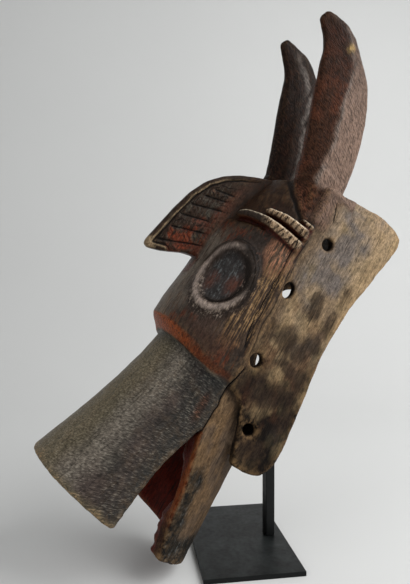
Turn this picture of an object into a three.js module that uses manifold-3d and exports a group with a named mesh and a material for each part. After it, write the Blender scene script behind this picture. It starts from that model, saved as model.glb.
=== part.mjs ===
// A carved wooden buffalo mask, cut from one log, leaning on its black steel stand.
// Millimetres, +Z up. The mask looks towards -Y and x = 0 is its middle plane.
// The origin is on the underside of the stand's plate, straight below the post.
import * as THREE from 'three';
import { mergeVertices } from 'three/addons/utils/BufferGeometryUtils.js';
import Module from 'manifold-3d';

const wasm = await Module();
wasm.setup();

// The stand
const PLATE = { width: 208, depth: 129, thick: 6, behindPost: 20 };
const PLATE_TURN = 11.3; // degrees, the mask sits a little askew on its stand
const POST_SIDE = 13;
const CROSSBAR = { length: 64, side: 12 };
const CLEARANCE = 0.3; // kept between pieces that touch

// The log that the mask is cut from stands in its own frame while it is carved:
// x across, "out" towards the face, "up" along the log, and 0, 0 at the foot of the back rim.
const LEAN = 32; // degrees, the log leans back on the stand
const LOG_FOOT = { out: 50, up: 124 }; // where that 0, 0 comes in front of the post and above the table
const LOG_HALF_WIDTH = 88;
const SEAM = 103; // from the back rim to the edge of the painted face
// Its outline from the side, as [out, up], but for the back rim
const WALL = {
  foot: [[46, -8], [22, -8.5], [10, -7], [2, -3], [-6, 9]],
  rim: { low: 24, high: 348, step: 18 },
  crown: [[-23, 364], [-9, 373], [8, 375.5], [20, 375.5], [40, 371.5], [62, 367], [112, 357]],
  seam: [[SEAM + 6, 262], [SEAM + 6, 86]],
  cheek: [[97, 71], [76, 60], [63, 37]],
};
// The share of the half width that its sides keep, at each depth and at each height
const LOG_SIDES = [[-40, 0.95], [0, 0.965], [40, 0.985], [80, 1], [125, 1]];
const LOG_CROWN = [[-12, 1], [330, 1], [354, 0.985], [366, 0.955], [374, 0.92], [377, 0.9]];

// The painted face block
const FACE = { half: 91, top: 262 };
// Its foot hangs lower at the sides and is cut back under a sharp fold
const FOOT = { middle: 110, side: 86, curve: 3.3, bevel: 17, inset: 20, drawIn: 7 };
const FOREHEAD = { low: 250, high: 357, lowHalf: 87, highHalf: 82, behindFace: 7 };
const ARCH_STEPS = 28;

// The hollow for the wearer's head
const HOLLOW = { half: 73, sill: 50, ceiling: 308, frontWall: 34 };
// Where it narrows to its sill, as [up, half width, front]
const HOLLOW_FOOT = [[HOLLOW.sill, 60, 92], [HOLLOW.sill + 22, 70, 118], [110, HOLLOW.half, 150]];
// The wood that closes the log behind the lower jaw, up to the hollow's sill, as [out, up]
const SILL_BLOCK = [[-3, HOLLOW.sill + 2], [-3, 30], [12, 14], [60, 14], [60, HOLLOW.sill + 2]];
const THROAT = { half: 44, outline: [[62, 30], [118, 30], [128, 70], [110, 100], [60, 100]] };

// The open jaws
const MUZZLE = { length: 262, bridgeUp: 148.2, bridgeSlope: 0.985, lipUp: 84, lipSlope: 0.813 };
const PALATE = { start: 120, rootThick: 26, endThick: 15, deep: 60 };
const JAW_END = -144;
const JAW = { half: 84, endNarrower: 5, arm: 31, armSlope: 5, floor: 24, back: 9 };
const TEETH = { count: 4, first: -134.5, pitch: 15, width: 10, reach: 14 };
// The worn right arm ends short, along this slope from its edge to the trough's back
const WORN_ARM = [[80, -116], [27, -133], [0, -141]];

// The tie holes down each side wall, as [out, up, half their size in out, in up]
const TIE_HOLES = [
  [75.5, 292.5, 8.4, 8.4], [93, 213, 8.2, 10.8], [85, 116.5, 8.2, 9.3], [48, 39.5, 8.8, 7.6]];
const TIE_HOLE_SIDES = 16;

// What is worn out of the left wall's back rim, where daylight shows through two tie holes
const WORN_RIM = [
  [-40, 120], [0, 124], [4.5, 133], [8, 145], [7, 180], [8, 202], [13, 220], [22, 238], [26, 249],
  [19, 257.5], [2, 269], [-40, 284]];

// The eye, an oval ring on the round of the face
const EYE = {
  angle: 45, up: 186, halfAcross: 38, halfUp: 52, tilt: 6, ring: 12, proud: 6.5, dish: 4, steps: 30 };

// The crest, a leaf in the middle plane with sunk lines between its hatched strips
const CREST = { rootThick: 26, rimThick: 12, lineWidth: 4, lineDeep: 2.2 };
// Its outline as [out, up], from its foot, round the tip and over to the crown
const CREST_OUTLINE = [
  [150, 211], [199, 200.5], [214, 196], [226, 189.5], [240, 182], [257, 175.5], [263, 175], [266.5, 179.5],
  [265, 188], [261, 209], [255.5, 241], [248, 270.5], [237, 295], [222, 313.5], [202.5, 328.5], [182, 339.5],
  [159, 350], [130, 345]];
// The sunk lines, each as [out, up, out, up]
const CREST_LINES = [
  [252, 192, 203, 214], [247, 216, 206, 231], [244, 237, 210, 248], [239, 256, 201, 270],
  [229, 276, 203, 284], [221, 291, 197, 297]];

// The horns
const HORN = { rootAcross: 50, tipAcross: 57, rootThick: 50, tipThick: 15, stations: 17 };
// The edges of a horn from the front and the back, as [out, up] from its root to its tip
const HORN_FRONT = [
  [124.5, 318], [146, 362], [167, 418], [187, 470], [200, 507], [208, 530], [221, 544], [234, 556]];
const HORN_BACK = [
  [74, 318], [75, 368], [82, 420], [96, 472], [120, 520], [152, 550], [186, 573], [228, 571]];
// The left horn reaches this much further, in its last stretch
const LEFT_TIP = { out: 5, up: 10 };

const rad = THREE.MathUtils.degToRad;
const lerp = THREE.MathUtils.lerp;

// A point of the log's frame, with the face towards -Y
const at = (x, out, up) => new THREE.Vector3(x, -out, up);

// A smooth line through [key, value] pairs, read at any key
function smooth(pairs) {
  const curve = new THREE.SplineCurve(pairs.map(([key, value]) => new THREE.Vector2(key, value)));
  const samples = curve.getPoints(pairs.length * 12);
  return (key) => {
    let i = 1;
    while (i < samples.length - 1 && samples[i].x < key) i += 1;
    const a = samples[i - 1];
    const b = samples[i];
    const t = THREE.MathUtils.clamp((key - a.x) / (b.x - a.x), 0, 1);
    return lerp(a.y, b.y, t);
  };
}

// How far the back rim and the front of the face stand out, at each height
const backRim = smooth([
  [-10, -7], [20, -9], [52, -8.5], [84, -5], [120, -1], [166, 3.5], [205, 3], [242, -1],
  [285, -9.5], [328, -18.5], [349, -23.5], [370, -27]]);
const faceFront = smooth([
  [80, 205], [103, 205.5], [130, 205], [160, 202], [185, 198.5], [200, 197],
  [262, 194], [315, 183], [353, 168], [372, 156]]);

// The upper jaw along its length: the bridge of the nose, the lip and half the width
const bridge = smooth([
  [0, 178], [60, 183], [100, 191.5], [140, 203], [200, 223.5], [240, 239.5], [262, 248]]);
const lip = smooth([[0, 88], [60, 98], [110, 108], [144, 121], [210, 135], [262, 143]]);
const flare = smooth([[0, 84], [110, 84], [180, 89], [230, 95], [262, 99]]);

// The upper edge of the lower jaw's arms, at each height
const armEdge = smooth([[-150, 71], [-136, 75], [-112, 82], [-75, 87], [-40, 91], [-5, 103.5], [60, 112]]);

// The ridge of a horn, as a share of the way from its back edge to its front edge
const hornRidge = smooth([
  [0, 0.9], [0.14, 0.76], [0.29, 0.61], [0.43, 0.57], [0.57, 0.5], [0.72, 0.42], [0.86, 0.34], [1, 0.35]]);

// The raised bands of the brow: their stretch in degrees on the round of the face, the height of
// their middle line at each of those, their width at both ends and how far they stand proud
const BROW_BANDS = [
  {
    angles: [70, 8],
    middle: smooth([[8, 265.5], [18, 268], [27, 271.5], [35, 274], [42, 276], [58, 277], [70, 275]]),
    wide: [8, 14],
    proud: 6.5,
  },
  { angles: [47, 7], middle: smooth([[7, 284.5], [14, 285.5], [22, 288], [31, 290], [47, 290]]),
    wide: [8, 12], proud: 5.5 },
  { angles: [18, 5], middle: smooth([[5, 295], [18, 298.5]]), wide: [4, 6], proud: 4 },
];

// One closed body through rings of points that run the same way round
function loft(rings) {
  const n = rings[0].length;
  const points = rings.flat();
  const index = [];
  for (let r = 0; r < rings.length - 1; r += 1) {
    for (let i = 0; i < n; i += 1) {
      const a = r * n + i;
      const b = r * n + ((i + 1) % n);
      index.push(a, b, b + n, a, b + n, a + n);
    }
  }
  for (const [ring, start, flip] of [[rings[0], 0, true], [rings.at(-1), points.length - n, false]]) {
    const middle = points.length;
    points.push(ring.reduce((sum, p) => sum.clone().add(p), new THREE.Vector3()).divideScalar(n));
    for (let i = 0; i < n; i += 1) {
      const a = start + i;
      const b = start + ((i + 1) % n);
      index.push(middle, flip ? b : a, flip ? a : b);
    }
  }
  return closed(points, index);
}

// A ring-shaped body: its sections follow one another all the way round
function hoop(sections) {
  const n = sections[0].length;
  const points = sections.flat();
  const index = [];
  for (let s = 0; s < sections.length; s += 1) {
    const next = ((s + 1) % sections.length) * n;
    for (let i = 0; i < n; i += 1) {
      const a = s * n + i;
      const b = s * n + ((i + 1) % n);
      const c = next + ((i + 1) % n);
      const d = next + i;
      index.push(a, b, c, a, c, d);
    }
  }
  return closed(points, index);
}

// Faces are turned to point out, which the sign of the volume tells
function closed(points, index) {
  let volume = 0;
  for (let i = 0; i < index.length; i += 3) {
    const [a, b, c] = [points[index[i]], points[index[i + 1]], points[index[i + 2]]];
    volume += a.dot(b.clone().cross(c));
  }
  if (volume < 0) {
    for (let i = 0; i < index.length; i += 3) {
      [index[i + 1], index[i + 2]] = [index[i + 2], index[i + 1]];
    }
  }
  const geometry = new THREE.BufferGeometry().setFromPoints(points);
  geometry.setIndex(index);
  return geometry;
}

// An outline of [out, up] points as a slab from one x to another
function slab(outline, fromX, toX) {
  const shape = new THREE.Shape(outline.map(([out, up]) => new THREE.Vector2(out, up)));
  const geometry = new THREE.ExtrudeGeometry(shape, { depth: toX - fromX, bevelEnabled: false });
  const turn = new THREE.Matrix4().makeBasis(
    new THREE.Vector3(0, -1, 0), new THREE.Vector3(0, 0, 1), new THREE.Vector3(-1, 0, 0));
  return geometry.applyMatrix4(turn).translate(toX, 0, 0);
}

function toSolid(geometry) {
  const bare = geometry.clone();
  bare.deleteAttribute('normal');
  bare.deleteAttribute('uv');
  const merged = mergeVertices(bare, 1e-4);
  const mesh = new wasm.Mesh({
    numProp: 3,
    vertProperties: new Float32Array(merged.attributes.position.array),
    triVerts: new Uint32Array(merged.index.array),
  });
  return new wasm.Manifold(mesh);
}

function toGeometry(solid) {
  const { vertProperties, triVerts } = solid.getMesh();
  const geometry = new THREE.BufferGeometry();
  geometry.setAttribute('position', new THREE.BufferAttribute(new Float32Array(vertProperties), 3));
  geometry.setIndex(new THREE.BufferAttribute(new Uint32Array(triVerts), 1));
  geometry.computeVertexNormals();
  return geometry;
}

// The other side of a piece, with its faces turned back out
function mirrored(geometry) {
  const other = geometry.clone().applyMatrix4(new THREE.Matrix4().makeScale(-1, 1, 1));
  const index = other.index ? [...other.index.array] : [...other.attributes.position.array.keys()];
  const count = other.index ? index.length : other.attributes.position.count;
  const turned = [];
  for (let i = 0; i < count; i += 3) turned.push(index[i], index[i + 2], index[i + 1]);
  other.setIndex(turned);
  return other;
}

const bothSides = (geometry) => [geometry, mirrored(geometry)];

// Half an oval over the line from low to high: x = half at the low end, 0 at the high end
function arch(half, low, high, steps) {
  const ring = [];
  for (let i = 0; i <= steps; i += 1) {
    const angle = (Math.PI * i) / steps;
    const rise = Math.sin(angle);
    ring.push(at(half * Math.cos(angle), lerp(low[0], high[0], rise), lerp(low[1], high[1], rise)));
  }
  return ring;
}

// The log behind the face, seen from the side: the rim, the crown, the seam and the cheek's edge
function wallSlab() {
  const { low, high, step } = WALL.rim;
  const outline = [...WALL.foot];
  for (let up = low; up <= high; up += step) outline.push([backRim(up), up]);
  outline.push(...WALL.crown, ...WALL.seam, ...WALL.cheek);
  return slab(outline, -LOG_HALF_WIDTH - 2, LOG_HALF_WIDTH + 2);
}

// The round of the log: its sides bulge a little and draw in to the rim and over the crown
function logRound() {
  const rings = LOG_CROWN.map(([up, share]) => {
    const half = LOG_HALF_WIDTH * share;
    const right = LOG_SIDES.map(([out, wide]) => at(half * wide, out, up));
    const left = LOG_SIDES.map(([out, wide]) => at(-half * wide, out, up)).reverse();
    return [...right, ...left];
  });
  return loft(rings);
}

// Below the sill the log keeps only its side walls, with the jaw between them
function belowSill() {
  const outline = [[-30, -20], [SEAM + 10, -20], [SEAM + 10, HOLLOW.sill], [-30, HOLLOW.sill]];
  return slab(outline, -HOLLOW.half, HOLLOW.half);
}

// The face block with its bevelled foot, painted on the real one
function faceBlock() {
  const rings = [];
  const section = (footDrop, inset, half) => {
    const ring = arch(half, [0, 0], [1, 0], ARCH_STEPS).map((p) => {
      const side = Math.abs(p.x) / half;
      const up = lerp(FOOT.middle, FOOT.side, side ** FOOT.curve) - footDrop;
      const front = faceFront(Math.max(up, 80)) - lerp(inset, 0, side ** 2);
      return at(p.x, lerp(SEAM - 6, front, -p.y), up);
    });
    return ring;
  };
  rings.push(section(FOOT.bevel, FOOT.inset, FACE.half - FOOT.drawIn));
  rings.push(section(0, 0, FACE.half));
  for (let up = 135; up <= FACE.top; up += 32) {
    rings.push(arch(FACE.half, [SEAM - 6, up], [faceFront(up), up], ARCH_STEPS));
  }
  rings.push(arch(
    FACE.half - 5, [SEAM - 6, FACE.top + 5], [faceFront(FACE.top) - 5, FACE.top + 5], ARCH_STEPS));
  return loft(rings);
}

// The forehead above the face, up to the crown
function forehead() {
  const rings = [FOREHEAD.low, 285, 320, 345, FOREHEAD.high].map((up) => {
    const share = (up - FOREHEAD.low) / (FOREHEAD.high - FOREHEAD.low);
    const half = lerp(FOREHEAD.lowHalf, FOREHEAD.highHalf, share);
    return arch(half, [70, up + 4], [faceFront(up) - FOREHEAD.behindFace, up - 4], ARCH_STEPS);
  });
  return loft(rings);
}

// The flaring upper jaw: each section hangs from the bridge of the nose to the lip
function muzzleSection(along, half, shrink, below) {
  const top = [bridge(along) - shrink, MUZZLE.bridgeUp - along * MUZZLE.bridgeSlope];
  const edge = [lip(along) - below * 0.76, MUZZLE.lipUp - along * MUZZLE.lipSlope - below * 0.65];
  return arch(half - shrink * 0.85, edge, top, ARCH_STEPS);
}

function muzzle() {
  const rings = [20, 60, 95, 130, 165, 200, 235, MUZZLE.length].map(
    (along) => muzzleSection(along, flare(along), 0, 0));
  return loft(rings);
}

// The lower jaw: a trough as deep as the log, its arms sloping away from the upper jaw
function jawSection(up, half) {
  const edge = armEdge(up);
  const inner = JAW.half - JAW.arm;
  return [
    ...arch(half, [edge - JAW.armSlope, up], [JAW.back, up], 24), at(-inner, edge, up), at(inner, edge, up)];
}

function lowerJaw() {
  const rings = [66, 40, 10, -20, -60, -100, JAW_END].map((up) => {
    const narrow = up < 0 ? lerp(0, JAW.endNarrower, up / JAW_END) : 0;
    return jawSection(up, JAW.half - narrow);
  });
  return loft(rings);
}

// What is cut away: the head hollow, the mouth, and the throat between them
function headHollow() {
  const section = (up, half, front) => [
    at(half, -60, up), ...arch(half, [SEAM - 10, up], [front, up], 20), at(-half, -60, up)];
  const rings = HOLLOW_FOOT.map(([up, half, front]) => section(up, half, front));
  for (const up of [160, 230, 280, HOLLOW.ceiling]) {
    const half = up < HOLLOW.ceiling ? HOLLOW.half : HOLLOW.half - 3;
    rings.push(section(up, half, faceFront(up) - HOLLOW.frontWall));
  }
  return loft(rings);
}

function palate() {
  const rings = [PALATE.start, 160, 200, 240, 300].map((along) => {
    const half = along > MUZZLE.length ? flare(MUZZLE.length) + 4 : flare(along);
    const thick = lerp(PALATE.rootThick, PALATE.endThick, (along - PALATE.start) / 140);
    return muzzleSection(along, half, thick, PALATE.deep);
  });
  return loft(rings);
}

function jawTrough() {
  const rings = [60, 30, 0, -40, -80, -120, -160].map((up) => {
    const half = JAW.half - JAW.arm - (up > 0 ? up * 0.12 : 0);
    const ring = arch(half, [armEdge(up), up], [JAW.back + JAW.floor, up], 20);
    return [at(half, 170, up), ...ring, at(-half, 170, up)];
  });
  return loft(rings);
}

function throat() {
  return slab(THROAT.outline, -THROAT.half, THROAT.half);
}

// Notches between the teeth, along the edge of each arm
function toothNotch(up) {
  const notch = new THREE.CylinderGeometry(TEETH.width / 2, TEETH.width / 2, TEETH.reach * 2, 8);
  const inner = JAW.half - JAW.arm;
  return notch.rotateZ(Math.PI / 2).translate(inner, -(armEdge(up) + 1), up);
}

function wornArm() {
  const outline = [...WORN_ARM, [0, JAW_END - 20], [110, JAW_END - 20], [110, WORN_ARM[0][1] + 10]];
  return slab(outline, -LOG_HALF_WIDTH, 0);
}

function sillBlock() {
  return slab(SILL_BLOCK, -HOLLOW.half - 3, HOLLOW.half + 3);
}

function wornRim() {
  return slab(WORN_RIM, -LOG_HALF_WIDTH - 4, -HOLLOW.half + 8);
}

function tieHole([out, up, halfOut, halfUp]) {
  const bore = new THREE.CylinderGeometry(1, 1, 80, TIE_HOLE_SIDES);
  return bore.rotateZ(Math.PI / 2).scale(1, halfOut, halfUp).translate(LOG_HALF_WIDTH, -out, up);
}

// A point on the round of the face: the angle runs from the side, 0, to the middle, 90 degrees
function onFace(angle, up, lift) {
  const front = faceFront(up);
  const across = (FACE.half + lift) * Math.cos(angle);
  const out = SEAM - 6 + (front - SEAM + 6 + lift) * Math.sin(angle);
  return at(across, out, up);
}

// A place in the eye's own oval: turn goes round it and reach is 1 on its outer edge
function inEye(turn, reach, lift) {
  const radius = (FACE.half + faceFront(EYE.up) - SEAM) / 2;
  const a = EYE.halfAcross * reach * Math.cos(turn);
  const b = EYE.halfUp * reach * Math.sin(turn);
  const tilt = rad(EYE.tilt);
  const across = a * Math.cos(tilt) - b * Math.sin(tilt);
  const up = a * Math.sin(tilt) + b * Math.cos(tilt);
  return onFace(rad(EYE.angle) - across / radius, EYE.up + up, lift);
}

function eyeRing() {
  const inner = 1 - EYE.ring / EYE.halfAcross;
  const sections = [];
  for (let i = 0; i < EYE.steps; i += 1) {
    const turn = (i / EYE.steps) * 2 * Math.PI;
    const proud = EYE.proud * (0.75 + 0.25 * Math.cos(turn));
    sections.push([
      inEye(turn, 1.03, -8),
      inEye(turn, 1.03, 0),
      inEye(turn, 0.97, proud),
      inEye(turn, inner + 0.07, proud),
      inEye(turn, inner, 0),
      inEye(turn, inner, -8),
    ]);
  }
  return hoop(sections);
}

function eyeDish() {
  const inner = 1 - EYE.ring / EYE.halfAcross;
  const ring = (reach, lift) => Array.from({ length: EYE.steps }, (_, i) => (
    inEye((i / EYE.steps) * 2 * Math.PI, reach, lift)));
  return loft([ring(inner + 0.02, 26), ring(inner + 0.02, 1), ring(inner - 0.03, -EYE.dish)]);
}

// A raised band across the brow, from the crest down to the side wall, highest along its upper edge
function browBand({ angles, middle, wide, proud }) {
  const steps = 12;
  const rings = [];
  for (let i = 0; i <= steps; i += 1) {
    const t = i / steps;
    const angle = lerp(angles[0], angles[1], t);
    const up = middle(angle);
    const half = lerp(wide[0], wide[1], t) / 2;
    const height = proud * Math.min(1, 4 * Math.min(t + 0.1, 1.1 - t));
    const section = [
      [-1, -14], [-1, height * 0.35], [-0.3, height * 0.7], [0.7, height], [1, height * 0.7], [1, -14]];
    rings.push(section.map(([share, lift]) => onFace(rad(angle), up + share * half, lift)));
  }
  return loft(rings);
}

// Half the crest's thickness, which thins towards the rim
const crestHalf = (out) => lerp(CREST.rootThick, CREST.rimThick, (out - 190) / 75) / 2;

function crest() {
  const blank = toSolid(slab(CREST_OUTLINE, -CREST.rootThick, CREST.rootThick));
  const wedge = [[120, 1], [280, 1], [280, -1], [120, -1]].map(([out, side]) => [out, side * crestHalf(out)]);
  const rings = [160, 370].map((up) => wedge.map(([out, x]) => at(x, out, up)));
  return blank.intersect(toSolid(loft(rings)));
}

// A sunk line between two strips, on one side of the crest
function crestLine([out1, up1, out2, up2]) {
  const along = new THREE.Vector2(out2 - out1, up2 - up1).normalize();
  const side = new THREE.Vector2(-along.y, along.x).multiplyScalar(CREST.lineWidth / 2);
  const section = (out, up) => {
    const above = crestHalf(out) + 3;
    return [
      at(crestHalf(out) - CREST.lineDeep, out, up),
      at(above, out + side.x * 2, up + side.y * 2),
      at(above, out - side.x * 2, up - side.y * 2)];
  };
  return loft([section(out1, up1), section(out2, up2)]);
}

// The horns: each section runs from the back edge to the front edge, with a ridge between
function horn(tip) {
  const line = (places) => new THREE.SplineCurve(places.map(([out, up]) => new THREE.Vector2(out, up)));
  const front = line(HORN_FRONT);
  const back = line(HORN_BACK);
  const rings = [];
  for (let i = 0; i < HORN.stations; i += 1) {
    const t = i / (HORN.stations - 1);
    const f = front.getPoint(t);
    const b = back.getPoint(t);
    const thick = lerp(HORN.rootThick, HORN.tipThick, t ** 1.6) / 2;
    const across = lerp(HORN.rootAcross, HORN.tipAcross, t);
    const ridge = hornRidge(t);
    const place = (share, x) => {
      const p = b.clone().lerp(f, share);
      return at(across + x * thick, p.x + tip.out * t ** 6, p.y + tip.up * t ** 6);
    };
    rings.push([
      place(0, 0.15), place(0.06, 0.5), place(ridge * 0.5, 0.8), place(ridge, 1),
      place(lerp(ridge, 1, 0.6), 0.62), place(0.97, 0.32), place(1, 0),
      place(0.95, -0.5), place(0.7, -0.9), place(0.35, -0.95), place(0.08, -0.55), place(0, -0.2)]);
  }
  return loft(rings);
}

function carveMask() {
  const join = (solid, geometry) => solid.add(toSolid(geometry));
  const cut = (solid, geometry) => solid.subtract(toSolid(geometry));
  let mask = cut(toSolid(wallSlab()).intersect(toSolid(logRound())), belowSill());
  for (const piece of [faceBlock(), forehead(), muzzle(), lowerJaw(), sillBlock()]) mask = join(mask, piece);
  for (const piece of [headHollow(), palate(), jawTrough(), throat()]) mask = cut(mask, piece);
  for (let i = 0; i < TEETH.count; i += 1) {
    for (const notch of bothSides(toothNotch(TEETH.first + i * TEETH.pitch))) mask = cut(mask, notch);
  }
  mask = cut(mask, wornArm());
  mask = mask.add(crest());
  for (const line of CREST_LINES) {
    for (const groove of bothSides(crestLine(line))) mask = cut(mask, groove);
  }
  for (const band of BROW_BANDS) {
    for (const side of bothSides(browBand(band))) mask = join(mask, side);
  }
  for (const dish of bothSides(eyeDish())) mask = cut(mask, dish);
  for (const ring of bothSides(eyeRing())) mask = join(mask, ring);
  mask = join(join(mask, horn({ out: 0, up: 0 })), mirrored(horn(LEFT_TIP)));
  for (const place of TIE_HOLES) {
    for (const bore of bothSides(tieHole(place))) mask = cut(mask, bore);
  }
  mask = cut(mask, wornRim());
  return toGeometry(mask);
}

function steelMesh(name, geometry) {
  const steel = new THREE.MeshStandardMaterial({ color: 0x1a1b1d, roughness: 0.45, metalness: 0.4 });
  const mesh = new THREE.Mesh(geometry, steel);
  mesh.name = name;
  return mesh;
}

function standPlate() {
  const plate = steelMesh('stand_plate', new THREE.BoxGeometry(PLATE.width, PLATE.depth, PLATE.thick));
  const turned = new THREE.Group();
  plate.position.set(0, PLATE.behindPost - PLATE.depth / 2, PLATE.thick / 2);
  turned.rotation.z = -rad(PLATE_TURN);
  turned.add(plate);
  return turned;
}

// The height above the table where the post's middle line meets a given height up the log
function postHeightAt(up) {
  return LOG_FOOT.up + (up - LOG_FOOT.out * Math.sin(rad(LEAN))) / Math.cos(rad(LEAN));
}

// The post stands upright and its top is cut to the lean of the crossbar that it carries
function standPost() {
  const barUnder = HOLLOW.ceiling - CLEARANCE * 2 - CROSSBAR.side;
  const half = POST_SIDE / 2;
  const foot = PLATE.thick + CLEARANCE;
  const top = postHeightAt(barUnder);
  const slope = half * Math.tan(rad(LEAN));
  const corners = [[half, -half], [half, half], [-half, half], [-half, -half]];
  const low = corners.map(([x, y]) => new THREE.Vector3(x, y, foot));
  const high = corners.map(([x, y]) => new THREE.Vector3(x, y, top - Math.sign(y) * slope));
  return steelMesh('stand_post', loft([low, high]));
}

const mask = new THREE.Mesh(
  carveMask(), new THREE.MeshStandardMaterial({ color: 0x5a3a28, roughness: 0.75, metalness: 0 }));
mask.name = 'mask';

const log = new THREE.Group();
log.position.set(0, -LOG_FOOT.out, LOG_FOOT.up);
log.rotation.x = -rad(LEAN);
log.add(mask);

const bar = steelMesh('stand_crossbar', new THREE.BoxGeometry(CROSSBAR.length, CROSSBAR.side, CROSSBAR.side));
const barUp = HOLLOW.ceiling - CLEARANCE - CROSSBAR.side / 2;
const barBack = LOG_FOOT.out / Math.cos(rad(LEAN)) - barUp * Math.tan(rad(LEAN));
bar.position.set(0, barBack, barUp);
log.add(bar);

const model = new THREE.Group();
model.add(log, standPlate(), standPost());

export default model;
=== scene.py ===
"""The looks of a carved wooden buffalo mask and its steel stand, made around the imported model.

Sizes are in millimetres in the frame of the log that the mask is cut from: x across,
out towards the face and up along the log. Blender's own objects are in metres.
"""

import math

import bmesh
import bpy
import numpy as np
from bpy.props import FloatProperty, FloatVectorProperty, IntProperty, PointerProperty
from bpy.types import Operator, Panel, PropertyGroup, Scene
from mathutils import Euler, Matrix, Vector


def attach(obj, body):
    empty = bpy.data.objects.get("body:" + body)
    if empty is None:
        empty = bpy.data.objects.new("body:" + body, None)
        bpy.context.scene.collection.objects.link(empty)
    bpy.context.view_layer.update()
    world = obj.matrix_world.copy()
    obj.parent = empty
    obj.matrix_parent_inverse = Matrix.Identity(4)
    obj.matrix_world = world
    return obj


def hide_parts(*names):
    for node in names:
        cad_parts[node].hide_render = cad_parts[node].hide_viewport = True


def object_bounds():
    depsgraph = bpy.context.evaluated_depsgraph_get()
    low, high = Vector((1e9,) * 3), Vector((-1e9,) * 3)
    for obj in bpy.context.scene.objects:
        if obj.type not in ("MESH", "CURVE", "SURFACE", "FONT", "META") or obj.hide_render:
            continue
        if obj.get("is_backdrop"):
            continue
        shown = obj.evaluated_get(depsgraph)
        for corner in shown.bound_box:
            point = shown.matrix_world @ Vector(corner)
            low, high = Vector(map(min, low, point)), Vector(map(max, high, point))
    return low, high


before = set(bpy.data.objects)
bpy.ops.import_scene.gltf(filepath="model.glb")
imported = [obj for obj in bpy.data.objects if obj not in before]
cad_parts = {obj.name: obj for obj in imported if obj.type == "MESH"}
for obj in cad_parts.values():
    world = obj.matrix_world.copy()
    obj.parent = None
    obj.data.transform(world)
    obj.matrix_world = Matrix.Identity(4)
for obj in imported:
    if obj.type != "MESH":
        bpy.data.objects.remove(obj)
CAD_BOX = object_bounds()

bl_info = {
    "name": "Carved buffalo mask",
    "version": (1, 0, 0),
    "blender": (4, 5, 0),
    "location": "View3D > Sidebar > Mask",
    "description": "Carves, paints and lights a wooden buffalo mask on its stand",
    "category": "Object",
}

MM = 0.001

# The log leans back on its stand; its foot stands this far in front of the post and above the table
LEAN = math.radians(32)
LOG_FOOT = (50.0, 124.0)

# The painted face: half its width, where its round starts, and its edge against the bare log
FACE_HALF = 91.0
FACE_START = 97.0
SEAM = 103.0
FACE_FRONT = (
    (80, 205), (103, 205.5), (130, 205), (160, 202), (185, 198.5), (200, 197),
    (262, 194), (315, 183), (353, 168), (372, 156))
FACE_FOOT = (110.0, 86.0)
FOOT_CURVE = 3.3

# Limits between which a point counts as a wall of the hollow; they lie a little inside the wood:
# across from the middle, behind the face's front, and up from the foot
HOLLOW_SIDE_LIMIT = 76.0
HOLLOW_FRONT_LIMIT = 30.0
HOLLOW_LOW_LIMIT = 36.0
HOLLOW_HIGH_LIMIT = 314.0

# The eye, an oval on the round of the face
EYE_TURN = 45.0
EYE_UP = 186.0
EYE_HALF = (38.0, 52.0)
EYE_TILT = math.radians(6)
EYE_RADIUS = 95.0
RING_INNER = 0.68

# The muzzle, read along its length from the face
BRIDGE = ((0, 178), (60, 183), (100, 191.5), (140, 203), (200, 223.5), (240, 239.5), (262, 248))
LIP = ((0, 88), (60, 98), (110, 108), (144, 121), (210, 135), (262, 143))
FLARE = ((0, 84), (110, 84), (180, 89), (230, 95), (262, 99))
MUZZLE_LENGTH = 262.0
LIP_SLOPE = 0.813
BRIDGE_SLOPE = 0.985
# The height along the log where the lip starts, and how much higher the bridge starts
LIP_START = 84.0
BRIDGE_LIFT = 64.2

# The lower jaw
ARM_EDGE = ((-150, 71), (-136, 75), (-112, 82), (-75, 87), (-40, 91), (-5, 103.5), (60, 112))
JAW_HALF = 84.0
JAW_BACK = 9.0
JAW_END = -144.0
JAW_TAPER = 5.0

# The horns, seen from the side: their front and back edges, and the ridge between
HORN_FRONT = (
    (318, 124.5), (362, 146), (418, 167), (470, 187), (507, 200), (530, 208), (544, 221), (556, 234))
HORN_BACK = ((318, 74), (368, 75), (420, 82), (472, 96), (520, 120), (550, 152), (573, 186), (584, 228))
HORN_RIDGE = (
    (318, 0.9), (362, 0.76), (418, 0.61), (470, 0.57), (507, 0.5), (530, 0.42), (548, 0.34), (580, 0.35))
HORN_ACROSS = 53.0
# A point counts as horn above a sloping line over the crown, given by its height at one place out and
# its slope, and further than this from the middle
HORN_LINE_UP = 349.0
HORN_LINE_OUT = 60.0
HORN_LINE_SLOPE = 0.06
HORN_INNER_LIMIT = 24.0
# The front edge of a horn's root, which stands out of the side of the forehead, as up, out
HORN_ROOT = ((298, 116), (312, 127), (325, 137), (337, 143), (353, 148), (372, 152))

# The chipped place near the tip of a horn, as out, up
HORN_CHIP = (175.0, 543.0)

# The crest: its outline, and the sunk lines between its strips as out, up, out, up
CREST_HALF = 13.5
CREST_RIM = (
    (240, 182), (257, 176), (266, 180), (265, 188), (261, 209), (255.5, 241), (248, 270.5), (237, 295),
    (222, 313.5), (202.5, 328.5), (182, 339.5))
CREST_LINES = (
    (252, 192, 203, 214), (247, 216, 206, 231), (244, 237, 210, 248),
    (239, 256, 201, 270), (229, 276, 203, 284), (221, 291, 197, 297))

# The raised brow bands: their stretch on the round of the face in degrees, the height of their
# middle line along it, their width at both ends, and the share of it where their notches start
BROW_BANDS = (
    ((70, 8),
     ((8, 265.5), (18, 268), (27, 271.5), (35, 274), (42, 276), (58, 277), (70, 275)), (8, 14), 0.5),
    ((47, 7), ((7, 284.5), (14, 285.5), (22, 288), (31, 290), (47, 290)), (8, 12), 0.0),
    ((18, 5), ((5, 295), (18, 298.5)), (4, 6), 0.2),
)

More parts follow.
